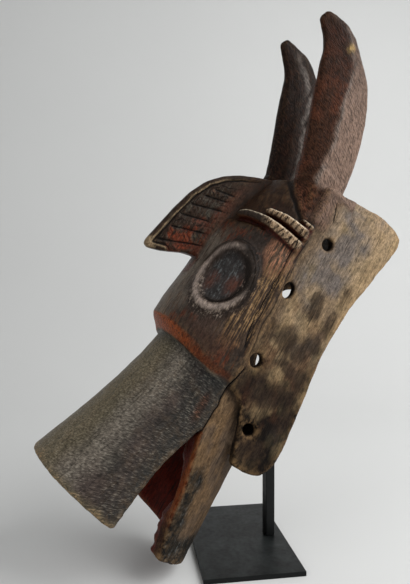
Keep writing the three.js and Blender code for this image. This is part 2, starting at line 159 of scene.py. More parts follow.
# Drying cracks, each a line of out, up points with its depth and half its width
CRACKS = (
    (((103.7, -4.8), (100, 29), (99.9, 46.5), (101, 72), (94, 102)), 2.2, 0.9),
    (((94, 346), (90, 335), (84, 320)), 1.2, 0.7),
    (((118, 284), (115.5, 262), (115.4, 221), (115.7, 190), (116.8, 167), (114.4, 143), (110, 120)),
     0.8, 0.6),
)

# How far out the longest crack runs at each height, between the muzzle and the lower jaw
CRACK_OUT = ((-5, 103.7), (29, 100), (46.5, 99.9), (72, 101), (102, 94))

# The tie holes of the side walls as out, up, and half their size that way
TIE_HOLES = ((75.5, 292.5, 8.4, 8.4), (93, 213, 8.2, 10.8), (85, 116.5, 8.2, 9.3), (48, 39.5, 8.8, 7.6))

# The rounded ridge of wood along the edge of the painted face; its far end fades towards this run
SEAM_RIDGE = (
    (106, 292), (109, 272), (110, 254), (110.6, 228), (109, 208), (107.4, 175), (105.7, 141), (103, 112))
SEAM_RIDGE_RUN = 184.0

# The slant of the brush and knife strokes against the grain
STROKE_SLANT = math.radians(55)

# Patches of worn paint and rubbed wood as out, up, and how far they reach that way; GREY_GLINT is instead a
# patch of painted grey highlight
ORANGE_WEAR = (124, 243, 15, 26)
WARM_CHEEK = (150, 118, 30, 22)
GREY_GLINT = (158, 128, 14, 16)
TAN_CHEEK = (92, 42, 12, 24)
GREY_CHEEK = (62, 14, 10, 34)
RUSTY_LIP = (117, 33, 5, 20)

# The pale tip of the crest as out, up
CREST_TIP = (262, 181)

# The two red places of the eye's disc, as across and along the oval, and how narrow they are
EYE_REDS = ((15, -5, 1.3), (-17, -10, 1.5))

# Stains on the outer sides of the log as out, up, and how far they reach that way
DARK_STAINS = (
    (51, 224, 11, 11), (45, 208, 9, 11), (28, 171, 13, 14), (36, 152, 14, 12), (61, 159, 15, 15),
    (90, 157, 9, 16), (20, 125, 12, 16), (40, 127, 15, 9), (67, 92, 8, 24), (44, 84, 24, 14),
    (28, 99, 16, 14), (17, 206, 7, 16), (35, 19, 20, 13), (70, 20, 12, 12), (15, 246, 7, 14),
    (12, 70, 10, 14))
BLUE_STAINS = (
    (51, 300, 16, 20), (49, 341, 20, 12), (66, 253, 13, 18), (40, 254, 15, 13), (76, 284, 12, 12),
    (88, 234, 9, 20), (20, 318, 12, 10))
PALE_STAINS = (
    (53, 178, 13, 15), (54, 113, 15, 9), (72, 190, 14, 18), (62, 230, 9, 12), (12, 290, 14, 20),
    (58, 62, 13, 9), (36, 190, 12, 12), (30, 345, 24, 9), (78, 128, 7, 9))

# The sheet of paper in metres: how far it lies in front, how far back and how high it rises, the
# radius of its bend, half its width, and the steps of the bend
PAPER_FRONT = 3.0
PAPER_BACK = 1.6
PAPER_HIGH = 3.2
PAPER_BEND = 0.9
PAPER_HALF = 4.0
BEND_STEPS = 12

# The two soft lights as their place and their size in metres, and the point that they look at
KEY_LIGHT = ((1.0, 1.2, 1.4), 1.9)
FILL_LIGHT = ((0.6, -1.6, 1.3), 1.5)
LIGHT_TARGET = (0, -0.08, 0.36)

# The camera of the photograph, in metres; the paper behind the mask is turned square to it
CAMERA_PLACE = (0.67459, -0.34163, 0.36038)
CAMERA_TURN = math.radians(70)
CAMERA_TILT = math.radians(89.243)
SENSOR_WIDTH = 36.0


def srgb(red, green, blue):
    """A display colour from 0 to 255 as the linear colour that the materials use."""
    def line(value):
        value /= 255
        return value / 12.92 if value <= 0.04045 else ((value + 0.055) / 1.055) ** 2.4
    return (line(red), line(green), line(blue))


def linear_between(pairs, key):
    """Reads a line of (key, value) pairs at every key of an array."""
    keys, values = zip(*pairs)
    return np.interp(key, keys, values)


def soft(distance, width=3.0):
    """0 outside and 1 inside an edge, with a slope of this width."""
    return np.clip(0.5 + distance / width, 0, 1)


def hashed(cells, seed):
    """A number from -1 to 1 for each whole-numbered cell."""
    mixed = cells @ np.array([374761393, 668265263, 1274126177]) + seed * 974634777
    mixed = ((mixed ^ (mixed >> 13)) * 1103515245) & 0x7FFFFFFF
    mixed = mixed ^ (mixed >> 16)
    return (mixed & 0xFFFF) / 32767.5 - 1


def lumps(points, size, seed):
    """Smooth noise from -1 to 1 with lumps of this size, one number or one for each axis."""
    cells = points / np.asarray(size, float)
    base = np.floor(cells).astype(np.int64)
    part = cells - base
    part = part * part * (3 - 2 * part)
    total = np.zeros(len(points))
    for corner in np.ndindex(2, 2, 2):
        corner = np.array(corner)
        weight = np.prod(np.where(corner, part, 1 - part), axis=1)
        total += weight * hashed(base + corner, seed)
    return total


def mixed_lumps(points, size, seed, layers=3):
    """Noise with finer and fainter lumps laid over the coarse ones."""
    size = np.asarray(size, float)
    total = np.zeros(len(points))
    for layer in range(layers):
        total += lumps(points, size / 2 ** layer, seed + layer) / 2 ** layer
    return total / 1.5


def scoops(points, size, seed):
    """The marks of a blade: 0 where two cuts meet and 1 in the middle of a cut."""
    cells = points / np.asarray(size, float)
    base = np.floor(cells).astype(np.int64)
    nearest = np.full(len(points), 9.0)
    for step in np.ndindex(3, 3, 3):
        cell = base + np.array(step) - 1
        middle = cell + 0.5 + 0.42 * np.stack([hashed(cell, seed + axis) for axis in range(3)], axis=1)
        nearest = np.minimum(nearest, ((cells - middle) ** 2).sum(axis=1))
    return np.clip(1 - nearest / 0.6, 0, 1)


def near_line(a, b, places):
    """How far (a, b) is from a line through places, signed by its side, and how far along it lies."""
    distance = np.full(len(a), 1e9)
    along = np.zeros(len(a))
    run = 0.0
    for (a1, b1), (a2, b2) in zip(places, places[1:]):
        length = math.hypot(a2 - a1, b2 - b1)
        step_a, step_b = (a2 - a1) / length, (b2 - b1) / length
        reach = np.clip((a - a1) * step_a + (b - b1) * step_b, 0, length)
        apart = np.hypot(a - a1 - reach * step_a, b - b1 - reach * step_b)
        side = np.where((b - b1) * step_a < (a - a1) * step_b, -1, 1)
        closer = apart < np.abs(distance)
        distance = np.where(closer, apart * side, distance)
        along = np.where(closer, run + reach, along)
        run += length
    return distance, along


class Surface:
    """The points of the carving and what lies where on it."""

    def __init__(self, mesh):
        count = len(mesh.vertices)
        points = np.empty(count * 3)
        mesh.vertices.foreach_get("co", points)
        self.place = self.to_log(points.reshape(-1, 3))
        pairs = np.empty(len(mesh.edges) * 2, np.int64)
        mesh.edges.foreach_get("vertices", pairs)
        self.pairs = pairs.reshape(-1, 2)
        self.read_normals(mesh)

    @staticmethod
    def to_log(points):
        """Turns metres of the row's frame into millimetres of the log's frame."""
        forward = -points[:, 1] / MM - LOG_FOOT[0]
        high = points[:, 2] / MM - LOG_FOOT[1]
        out = forward * math.cos(LEAN) + high * math.sin(LEAN)
        up = high * math.cos(LEAN) - forward * math.sin(LEAN)
        return np.stack([points[:, 0] / MM, out, up], axis=1)

    @staticmethod
    def from_log(place):
        """Turns millimetres of the log's frame back into metres of the row's frame."""
        out, up = place[:, 1], place[:, 2]
        forward = out * math.cos(LEAN) - up * math.sin(LEAN)
        high = out * math.sin(LEAN) + up * math.cos(LEAN)
        return np.stack([place[:, 0], -(forward + LOG_FOOT[0]), high + LOG_FOOT[1]], axis=1) * MM

    def read_normals(self, mesh):
        """Keeps the way each point faces, in the log's frame."""
        normals = np.empty(len(mesh.vertices) * 3)
        mesh.vertices.foreach_get("normal", normals)
        normals = normals.reshape(-1, 3)
        forward, high = -normals[:, 1], normals[:, 2]
        self.facing = np.stack([
            normals[:, 0],
            forward * math.cos(LEAN) + high * math.sin(LEAN),
            high * math.cos(LEAN) - forward * math.sin(LEAN)], axis=1)

    def write(self, mesh):
        """Puts the points back into the mesh."""
        mesh.vertices.foreach_set("co", self.from_log(self.place).astype(np.float32).ravel())
        mesh.update()
        self.read_normals(mesh)

    def smoothed(self, rounds, share=0.5, weight=None):
        """The points after each has moved towards its neighbours, by weight, this many times."""
        first, second = self.pairs.T
        count = len(self.place)
        weight = np.ones(len(first)) if weight is None else weight
        total = np.bincount(first, weight, count) + np.bincount(second, weight, count)
        total = np.maximum(total, 1e-9)
        place = self.place.copy()
        for _ in range(rounds):
            for axis in range(3):
                column = place[:, axis]
                pulled = np.bincount(first, weight * column[second], count)
                pulled += np.bincount(second, weight * column[first], count)
                place[:, axis] = column + (pulled / total - column) * share
        return place

    def push(self, depth):
        """Moves every point along the way it faces."""
        self.place = self.place + self.facing * depth[:, None]

    def measure(self):
        """Works out where every point lies on the parts of the carving."""
        x, out, up = self.place.T
        self.x, self.out, self.up = x, out, up
        self.side = np.abs(x)
        front = linear_between(FACE_FRONT, up)
        rise = (out - FACE_START) / (front - FACE_START)
        self.front = front
        self.turn = np.degrees(np.arctan2(rise, self.side / FACE_HALF))
        self.face_reach = np.hypot(self.side / FACE_HALF, np.maximum(rise, 0))
        self.measure_eye()
        self.measure_muzzle()
        self.measure_jaw()
        self.measure_horn()
        self.measure_parts()

    def measure_eye(self):
        across = np.radians(EYE_TURN - self.turn) * EYE_RADIUS
        high = self.up - EYE_UP
        wide = across * math.cos(EYE_TILT) + high * math.sin(EYE_TILT)
        tall = high * math.cos(EYE_TILT) - across * math.sin(EYE_TILT)
        self.eye_wide, self.eye_tall = wide, tall
        self.eye_reach = np.hypot(wide / EYE_HALF[0], tall / EYE_HALF[1])

    def measure_muzzle(self):
        along = np.full(len(self.x), 100.0)
        for _ in range(8):
            lip = linear_between(LIP, along)
            bridge = linear_between(BRIDGE, along)
            rise = (self.out - lip) / (bridge - lip)
            slope = LIP_SLOPE + (BRIDGE_SLOPE - LIP_SLOPE) * rise
            along = (LIP_START + BRIDGE_LIFT * rise - self.up) / slope
        self.along = along
        self.muzzle_rise = rise
        self.muzzle_turn = np.degrees(np.arctan2(rise, self.side / linear_between(FLARE, along)))
        self.muzzle_reach = np.hypot(self.side / linear_between(FLARE, along), rise)

    def measure_jaw(self):
        narrow = np.clip(self.up / JAW_END, 0, 1) * JAW_TAPER
        edge = linear_between(ARM_EDGE, self.up)
        self.jaw_rise = (edge - self.out) / (edge - JAW_BACK)
        self.jaw_reach = np.hypot(self.side / (JAW_HALF - narrow), self.jaw_rise)

    def measure_horn(self):
        front = linear_between(HORN_FRONT, self.up)
        back = linear_between(HORN_BACK, self.up)
        self.horn_share = (self.out - back) / (front - back)
        self.horn_outer = soft(self.side - HORN_ACROSS, 12)
        self.horn_ridge = linear_between(HORN_RIDGE, self.up)
        self.horn_middle = (front + back) / 2
        ahead = self.out - linear_between(HORN_ROOT, self.up) + 1.5 * lumps(self.place, 12, 83)
        here = soft(self.up - 303 + 6 * lumps(self.place, 12, 84), 10) * soft(self.side - 38, 8)
        here = here * soft(380 - self.up, 8)
        self.root = soft(-ahead, 5) * soft(self.out - 91 + 5 * lumps(self.place, 14, 85), 12) * here
        self.root_groove = soft(2.2 - np.abs(ahead - 2.5), 2) * here

    def measure_parts(self):
        side, out, up = self.side, self.out, self.up
        line = HORN_LINE_UP + (out - HORN_LINE_OUT) * HORN_LINE_SLOPE
        above_crown = np.minimum(up - line, side - HORN_INNER_LIMIT)
        within = (self.horn_share > -0.12) & (self.horn_share < 1.2)
        self.horn = soft(np.where(within, above_crown, -9), 6)
        crest = np.minimum(CREST_HALF - side, out - self.front + 3)
        self.crest = soft(np.where(up > 175, crest, -9), 3)
        foot = FACE_FOOT[0] + (FACE_FOOT[1] - FACE_FOOT[0]) * (side / FACE_HALF) ** FOOT_CURVE
        self.foot = up - foot
        shell = np.minimum((self.muzzle_reach - 0.93) * 60, (1.045 - self.muzzle_reach) * 80)
        shell = np.minimum(shell, -self.foot - 3)
        ahead = out - linear_between(CRACK_OUT, up)
        shell = np.minimum(np.minimum(shell, self.along - 6), ahead * 2)
        self.muzzle = soft(np.where(ahead > -9, shell, -9), 3)
        painted = np.minimum(out - SEAM, self.foot + 16)
        self.block = soft(painted, 3) * (1 - self.horn) * (1 - self.crest) * (1 - self.muzzle)
        mouth = np.minimum((0.9 - self.muzzle_reach) * 60, self.along - 60)
        trough = np.minimum(np.minimum((0.8 - self.jaw_reach) * 60, 66 - up), out - 26)
        trough = np.minimum(trough, (self.jaw_rise + 0.05) * 60)
        self.mouth = np.maximum(soft(np.where(out > 90, mouth, -9), 4), soft(trough, 4))
        across = np.minimum(HOLLOW_SIDE_LIMIT - side, self.front - HOLLOW_FRONT_LIMIT - out)
        hollow = np.minimum(across, np.minimum(up - HOLLOW_LOW_LIMIT, HOLLOW_HIGH_LIMIT - up))
        self.hollow = soft(hollow, 4) * (1 - soft(trough, 4))
        below_cheek = 40 + 24 * soft(out - 74, 12) - up
        self.jaw = soft(np.where(self.jaw_reach < 1.06, below_cheek, -9), 10)
        self.jaw = self.jaw * (1 - self.mouth) * (1 - self.muzzle)
        self.measure_brow()

    def measure_brow(self):
        """For each brow band: how far above its middle a point is, half its width and where it lies."""
        self.bands = []
        for (start, end), middle, wide, notched in BROW_BANDS:
            share = (start - self.turn) / (start - end)
            off = self.up - linear_between(middle, self.turn)
            half = (wide[0] + (wide[1] - wide[0]) * np.clip(share, 0, 1)) / 2
            proud = soft(self.face_reach - 1.012, 0.016) * soft(share, 0.03) * soft(1 - share, 0.03)
            self.bands.append((off, half, share, proud, soft(share - notched, 0.2)))


def solid_piece(name, mesh):
    """A new object in the scene that holds this mesh."""
    piece = bpy.data.objects.new(name, mesh)
    bpy.context.scene.collection.objects.link(piece)
    return piece


def with_modifier(piece, kind, **settings):
    """Applies one modifier with these settings and swaps in the mesh that it makes."""
    modifier = piece.modifiers.new(kind.lower(), kind)
    for key, value in settings.items():
        setattr(modifier, key, value)
    depsgraph = bpy.context.evaluated_depsgraph_get()
    made = bpy.data.meshes.new_from_object(piece.evaluated_get(depsgraph))
    piece.modifiers.clear()
    old = piece.data
    piece.data = made
    bpy.data.meshes.remove(old)
    return piece


def relax_facets(surface):
    """Evens out the flats of the rough solid and keeps its true edges."""
    first, second = surface.pairs.T
    for _ in range(3):
        turn = 1 - (surface.facing[first] * surface.facing[second]).sum(axis=1)
        surface.place = surface.smoothed(6, weight=np.exp(-turn / 0.03))
    surface.place = surface.smoothed(2, share=0.4)


def soften_eyes(surface):
    """Rounds the rings of the eyes, which are worn soft."""
    near = soft(1.2 - surface.eye_reach, 0.15) * soft(surface.eye_reach - 0.5, 0.1) * surface.block
    even = surface.smoothed(14)
    surface.place = surface.place + (even - surface.place) * near[:, None]


def crest_lines(surface):
    """The line nearest to each point of the crest's flanks, signed, and where the lines run."""
    rim, _ = near_line(surface.out, surface.up, CREST_RIM)
    flank = surface.crest * soft(np.abs(surface.facing[:, 0]) - 0.6, 0.3)
    inside = soft(np.abs(rim) - 10, 1.5)
    nearest = np.abs(rim) - 8
    for line in CREST_LINES:
        apart, _ = near_line(surface.out, surface.up, (line[:2], line[2:]))
        apart = np.where(inside > 0.5, apart, 1e9)
        nearest = np.where(np.abs(apart) < np.abs(nearest), apart, nearest)
    return nearest, flank


def crest_hatch(surface, pitch):
    """How many notches along its strip each point lies, and where the notches are."""
    out, up = surface.out, surface.up
    rim, _ = near_line(out, up, CREST_RIM)
    phase = np.zeros(len(out))
    here = np.zeros(len(out))
    for low, high in zip(CREST_LINES[::2], CREST_LINES[1::2]):
        under, along = near_line(out, up, (low[:2], low[2:]))
        over, _ = near_line(out, up, (high[:2], high[2:]))
        under, over = np.abs(under), np.abs(over)
        gap = math.hypot(low[0] - high[0], low[1] - high[1])
        strip = soft(gap + 3 - under - over, 2) * soft(under - 2.5, 1.5) * soft(over - 2.5, 1.5)
        phase = np.where(strip > 0, (along + 0.35 * under) / pitch, phase)
        here = np.maximum(here, strip)
    phase += 0.35 * lumps(surface.place, 9, 76)
    faint = 0.15 + 0.4 * soft(lumps(surface.place, 13, 72), 0.6)
    flank = surface.crest * soft(np.abs(surface.facing[:, 0]) - 0.6, 0.3)
    return phase, here * faint * flank * soft(np.abs(rim) - 12, 2)


def brow_hatch(surface, pitch):
    """The same along the raised brow bands, below their smooth upper edges."""
    phase = np.zeros(len(surface.x))
    here = np.zeros(len(surface.x))
    for off, half, _, proud, notched in surface.bands:
        lower = soft(half * 0.5 - off + 2.5 * lumps(surface.place, 6, 70), 1.5) * soft(half + 3 + off, 2)
        run = np.radians(surface.turn) * EYE_RADIUS + off * 0.25
        run += 3.2 * lumps(surface.place, 12, 73)
        lower *= soft(lumps(surface.place, 8, 74) + 0.7, 0.5) * (0.15 + 0.85 * notched)
        phase = np.where(np.abs(off) < half + 3, run / (pitch + 1.5), phase)
        here = np.maximum(here, lower * proud)
    return phase, here * (1 - surface.horn) * (1 - surface.crest)


def hatch(surface, pitch):
    """The notches of the crest and the brow together."""
    crest_phase, crest_here = crest_hatch(surface, pitch)
    brow_phase, brow_here = brow_hatch(surface, pitch)
    on_crest = crest_here > brow_here
    return np.where(on_crest, crest_phase, brow_phase), np.maximum(crest_here, brow_here)


def fibre_zone(surface):
    """Where the paint beside the eye has gone and the torn fibres show."""
    zone = soft(26 - surface.turn + 5 * lumps(surface.place, (9, 9, 30), 75), 10)
    zone = zone * soft(surface.turn + 3, 4)
    return zone * soft(surface.up - 120, 36) * soft(258 - surface.up, 12) * (1 - surface.muzzle)


def in_tie_holes(surface):
    """The walls of the tie holes and their lips, painted dark as the shade inside the holes."""
    near = np.zeros(len(surface.x))
    for out, up, half_out, half_up in TIE_HOLES:
        reach = np.hypot((surface.out - out) / (half_out + 0.6), (surface.up - up) / (half_up + 0.6))
        near = np.maximum(near, soft(1 - reach, 0.12))
    return near * soft(surface.side - 60, 6)


def seam_line(surface):
    """How far each point is from the ridge along the edge of the painted face, and where it runs."""
    wander = 1.4 * lumps(surface.place, (9, 9, 26), 79)
    apart, along = near_line(surface.out + wander, surface.up, SEAM_RIDGE)
    ends = np.clip(np.minimum(along, SEAM_RIDGE_RUN - along) / 14, 0, 1)
    return apart, ends * soft(surface.side - 72, 8)


def seam_roll(surface):
    """How much of that ridge lies at each point."""
    apart, here = seam_line(surface)
    return np.exp(-(apart / 2.7) ** 2) * here


def torn_fibres(surface):
    """Furrows where fibres have been torn out beside the seam."""
    furrow = lumps(surface.place, (4.5, 4.5, 46), 77) + 0.4 * lumps(surface.place, (2.2, 2.2, 24), 78)
    furrow = np.abs(furrow)
    return fibre_zone(surface) * np.clip(0.55 - furrow, 0, 0.55)


def cracks(surface):
    """The crack nearest to each point of the side walls, signed, and its depth, half width and strength."""
    outer = soft(np.abs(surface.facing[:, 0]) - 0.25, 0.3) * soft(surface.side - 70, 8)
    wander = lumps(surface.place, 9, 71) * 1.2
    nearest = np.full(len(surface.x), 99.0)
    depth, half, here = (np.zeros(len(surface.x)) for _ in range(3))
    for places, deep, wide in CRACKS:
        apart, along = near_line(surface.out + wander, surface.up, places)
        length = sum(math.dist(a, b) for a, b in zip(places, places[1:]))
        closer = np.abs(apart) < np.abs(nearest)
        nearest = np.where(closer, apart, nearest)
        depth = np.where(closer, deep, depth)
        half = np.where(closer, wide, half)
        here = np.where(closer, np.clip(np.minimum(along, length - along) / 6, 0, 1), here)
    return nearest, depth, half, here * outer


def crack_cuts(surface):
    """Drying cracks along the grain of the side walls."""
    apart, depth, half, here = cracks(surface)
    return depth * np.clip(1.3 - np.abs(apart) / half, 0, 1) * np.minimum(here * 3, 1)


def carve(surface, sizes):
    """Works the carver's marks, the hatching, cracks and wear into the surface."""
    relax_facets(surface)
    surface.measure()
    soften_eyes(surface)
    place = surface.place
    bare = 1 - np.clip(surface.block + surface.muzzle + surface.crest + surface.horn, 0, 1)
    depth = sizes.fullness - sizes.adze_depth * bare * scoops(place, (26, 17, 34), 11)
    depth -= sizes.adze_depth * 0.9 * surface.hollow * scoops(place, (20, 20, 26), 15)
    depth -= 0.6 * surface.horn * scoops(place, (11, 11, 24), 21)
    depth -= 0.45 * surface.muzzle * scoops(place, (10, 12, 16), 31)
    depth -= 0.35 * surface.block * scoops(place, (13, 13, 20), 41)
    depth += 0.35 * mixed_lumps(place, 14, 51)
    depth -= 0.25 * bare * (0.5 + 0.5 * lumps(place, (3.0, 3.0, 18), 61))
    depth -= 1.8 * torn_fibres(surface)
    depth += 2.5 * seam_roll(surface)
    depth += 2.8 * surface.root - 1.5 * surface.root_groove
    apart, flank = crest_lines(surface)
    depth -= 1.4 * soft(1.5 - np.abs(apart), 1.6) * flank
    phase, here = hatch(surface, sizes.hatch_pitch)
    deeper = 1 + soft(surface.up - 255, 8) * (1 - surface.crest)
    depth -= sizes.hatch_depth * deeper * here * soft(np.cos(2 * math.pi * phase) - 0.2, 0.9)
    ring = soft(0.16 - np.abs(surface.eye_reach - 0.84), 0.06) * surface.block
    depth -= 2.4 * ring * shaded_rim_side(surface)
    depth += ring * (0.9 * mixed_lumps(place, 9, 55) - 1.6 * np.clip(lumps(place, 7, 57) - 0.45, 0, 1))
    depth -= crack_cuts(surface)
    surface.push(depth)
    wear_edges(surface, sizes.edge_wear)


def wear_edges(surface, most):
    """Chips and rounds the edges that stand out, here and there."""
    even = surface.smoothed(20)
    proud = ((surface.place - even) * surface.facing).sum(axis=1)
    chipped = np.clip(mixed_lumps(surface.place, 12, 81) + 0.1, 0, 1)
    surface.push(-most * chipped * np.clip(proud - 0.5, 0, 1.5))


class Coat:
    """Two tones for every point, and how far the second shows through the first."""

    def __init__(self, count, tone, under, wear):
        self.tone = np.tile(np.array(tone), (count, 1))
        self.under = np.tile(np.array(under), (count, 1))
        self.wear = np.full(count, float(wear))

    def lay(self, cover, tone=None, under=None, wear=None):
        """Lays any of the three over what is there, where the cover says."""
        cover = np.clip(cover, 0, 1)
        if tone is not None:
            self.tone += (np.asarray(tone) - self.tone) * cover[:, None]
        if under is not None:
            self.under += (np.asarray(under) - self.under) * cover[:, None]
        if wear is not None:
            self.wear += (wear - self.wear) * cover


def patch(surface, area, ragged=0.35, seed=0):
    """A soft-edged patch on the outer sides, as seen from the side."""
    out, up, reach_out, reach_up = area
    reach = np.hypot((surface.out - out) / reach_out, (surface.up - up) / reach_up)
    reach = reach + ragged * mixed_lumps(surface.place, 16, 200 + seed)
    return soft(1 - reach, 0.7) * soft(surface.side - 40, 20)


def stains(surface, places, seed):
    """The cover of a set of soft, ragged stains on the outer sides of the log."""
    ragged = 0.62 * mixed_lumps(surface.place, (13, 13, 17), seed, 5)
    cover = np.zeros(len(surface.x))
    for out, up, wide, tall in places:
        reach = np.hypot((surface.out - out) / wide, (surface.up - up) / tall)
        cover = np.maximum(cover, soft(1.1 - reach + ragged, 0.45))
    return cover * soft(surface.side - 50, 20)


def coat_bare_wood(surface, coat, colours):
    """The unpainted log: tan above, darker and blotted below, partly as painted shade, stained by handling,
    with painted shade in the tie holes.
    """
    place = surface.place
    up = surface.up + 30 * mixed_lumps(place, 60, 101)
    # Darker towards the foot: the wood's own darkening together with painted shade, as less light reaches
    # the bottom
    coat.lay(soft(235 - up, 130), colours["bare_middle"])
    coat.lay(soft(145 - up, 130), colours["bare_low"])
    cloud = soft(mixed_lumps(place, (30, 30, 44), 105, 4) - 0.3, 0.5)
    coat.lay(cloud * 0.5 * soft(up - 60, 120), colours["bare_stain"])
    warm = soft(mixed_lumps(place, (22, 22, 36), 111, 4) - 0.25, 0.5)
    coat.lay(warm * 0.55, colours["bare_ochre"])
    coat.lay(stains(surface, BLUE_STAINS, 107) * 0.75, colours["bare_blue"])
    coat.lay(stains(surface, PALE_STAINS, 108) * 0.45, colours["bare_ochre"])
    greenish = soft(mixed_lumps(place, (13, 13, 18), 112, 5) - 0.2, 0.35)
    coat.lay(greenish * 0.35, colours["bare_olive"])
    reddish = soft(mixed_lumps(place, (12, 12, 17), 113, 5) - 0.25, 0.35)
    coat.lay(reddish * 0.6 * soft(200 - up, 90), colours["bare_red"])
    # Darkest at the foot, the wood's own colour together with painted shade
    coat.lay(soft(44 - up, 90) * 0.85, colours["bare_foot"])
    low = soft(150 - up, 150)
    coat.lay(0.5 * low, wear=0.42)
    dark = stains(surface, DARK_STAINS, 109)
    coat.lay(dark * 0.75, colours["bare_brown"], wear=0.5)
    rim = soft(13 - surface.out + 6 * lumps(place, 20, 115), 12) * soft(surface.up - 190, 90)
    coat.lay(rim * 0.65, colours["bare_ochre"])
    seam = soft(surface.out - 88 + 7 * lumps(place, (12, 12, 40), 119), 16) * soft(surface.up - 90, 40)
    coat.lay(seam * 0.7, colours["seam"], colours["fibre"], 0.4)
    coat.lay(seam_roll(surface) * 0.8, colours["fibre"], colours["bare_dark"], 0.3)
    coat.lay(surface.hollow, colours["hollow"], colours["bare_dark"], 0.3)
    # Painted shade inside the tie holes
    coat.lay(in_tie_holes(surface), colours["pore"], colours["bare_dark"], 0.2)


def coat_face(surface, coat, colours):
    """The dark paint of the face block, worn to the wood beside the eye, with a rusty foot and a grey sheen
    painted along the nose and below the eye.
    """
    place = surface.place
    ragged = 4 * mixed_lumps(place, (7, 7, 30), 121)
    painted = surface.block * soft(surface.turn - 2 + ragged, 7)
    coat.lay(painted, colours["paint"], colours["paint_red"], 0.22)
    cloud = soft(mixed_lumps(place, 22, 125) - 0.05, 0.4)
    coat.lay(painted * cloud, wear=0.5)
    # Painted sheen: grey light laid as colour along the nose side of the face, and a painted grey highlight
    # below the eye
    sheen = soft(surface.turn - 64 + 8 * lumps(place, 20, 126), 22) * soft(248 - surface.up, 20)
    coat.lay(painted * sheen * 0.8, colours["paint_grey"], colours["paint"], 0.4)
    glint = patch(surface, GREY_GLINT, 0.5, seed=9) * soft(surface.turn, 6)
    coat.lay(painted * glint * 0.6, colours["paint_grey"], colours["paint"], 0.5)
    worn = fibre_zone(surface) * painted
    coat.lay(worn, colours["paint_brown"], colours["fibre"], 0.42)
    orange = patch(surface, ORANGE_WEAR, seed=1) * soft(surface.turn, 6)
    coat.lay(painted * orange * 0.9, colours["orange"], colours["paint_brown"], 0.56)
    low = patch(surface, WARM_CHEEK, seed=2) * soft(surface.turn, 6) * (1 - fibre_zone(surface))
    coat.lay(painted * low * 0.8, colours["paint_warm"], colours["paint"], 0.4)
    bevel = soft(-surface.facing[:, 2] - 0.35, 0.25) * soft(1.5 - surface.foot + lumps(place, 12, 127), 2)
    bevel = bevel * surface.block
    coat.lay(bevel * soft(surface.turn - 6, 14), colours["rust"], colours["rust_dark"], 0.4)
    coat.lay(bevel * soft(44 - surface.turn, 36) * 0.8, colours["rust_dark"], wear=0.25)


def shaded_rim_side(surface):
    """The side of the eye's ring towards the bare wall, which is carved flat and painted dark as shade."""
    behind = soft(surface.eye_wide - 6 + 8 * lumps(surface.place, 10, 132), 20)
    return behind * soft(surface.eye_tall + 18, 26)


def coat_eye(surface, coat, colours):
    """The eye's rubbed ring and its blue-black disc, with painted shade on the ring's far side and under
    the disc, and a painted highlight along the ring's crown.
    """
    place = surface.place
    eye = surface.block * soft(surface.turn, 4)
    ragged = 0.1 * mixed_lumps(place, 9, 133)
    lower_left = -surface.eye_wide * 0.3 - surface.eye_tall * 0.8 + 14 * lumps(place, 12, 131)
    outer = 1.0 + 0.1 * soft(lower_left, 40)
    ring = soft(outer - surface.eye_reach + ragged, 0.12)
    ring = ring * soft(surface.eye_reach - RING_INNER + 0.06, 0.08)
    coat.lay(eye * ring, colours["ring"], colours["rubbed"], 0.16)
    coat.lay(eye * ring * soft(lower_left + 6, 40), wear=0.4)
    # A pale line along the ring's crown, strongest at the lower left: rubbed wear together with a painted
    # highlight
    crown = soft(0.07 - np.abs(surface.eye_reach - 0.84), 0.08)
    lit = 0.5 + 0.5 * soft(lower_left - 6, 34)
    coat.lay(eye * ring * crown * lit, colours["ring_pale"], wear=0.46)
    # Painted shade on that side of the ring
    coat.lay(eye * ring * shaded_rim_side(surface) * 0.9, colours["pore"], colours["ring_pale"], 0.3)
    disc_wide, disc_tall = 0.88 * EYE_HALF[0], 1.02 * EYE_HALF[1]
    egg = np.hypot((surface.eye_wide + 2) / disc_wide, (surface.eye_tall - 1) / disc_tall)
    disc = soft(RING_INNER - 0.02 - egg + 0.5 * ragged, 0.14)
    coat.lay(eye * disc, colours["disc"], colours["disc_blue"], 0.36)
    reaches = [np.hypot((surface.eye_wide - wide) * narrow, surface.eye_tall - tall)
               for wide, tall, narrow in EYE_REDS]
    red = soft(11 - np.min(reaches, axis=0) + 4 * lumps(place, 7, 135), 14) * 0.8
    coat.lay(eye * disc * red, colours["disc_red"], colours["rust_dark"], 0.4)
    # Painted shadow: a dark arc along the bottom edge of the disc
    shaded_bottom = soft(0.45 * surface.eye_wide - 0.85 * surface.eye_tall - 22, 12)
    shadow_arc = soft(0.045 - np.abs(surface.eye_reach - RING_INNER + 0.02 + 0.5 * ragged), 0.05)
    coat.lay(eye * shadow_arc * shaded_bottom * 0.9, colours["pore"], colours["ring"], 0.3)


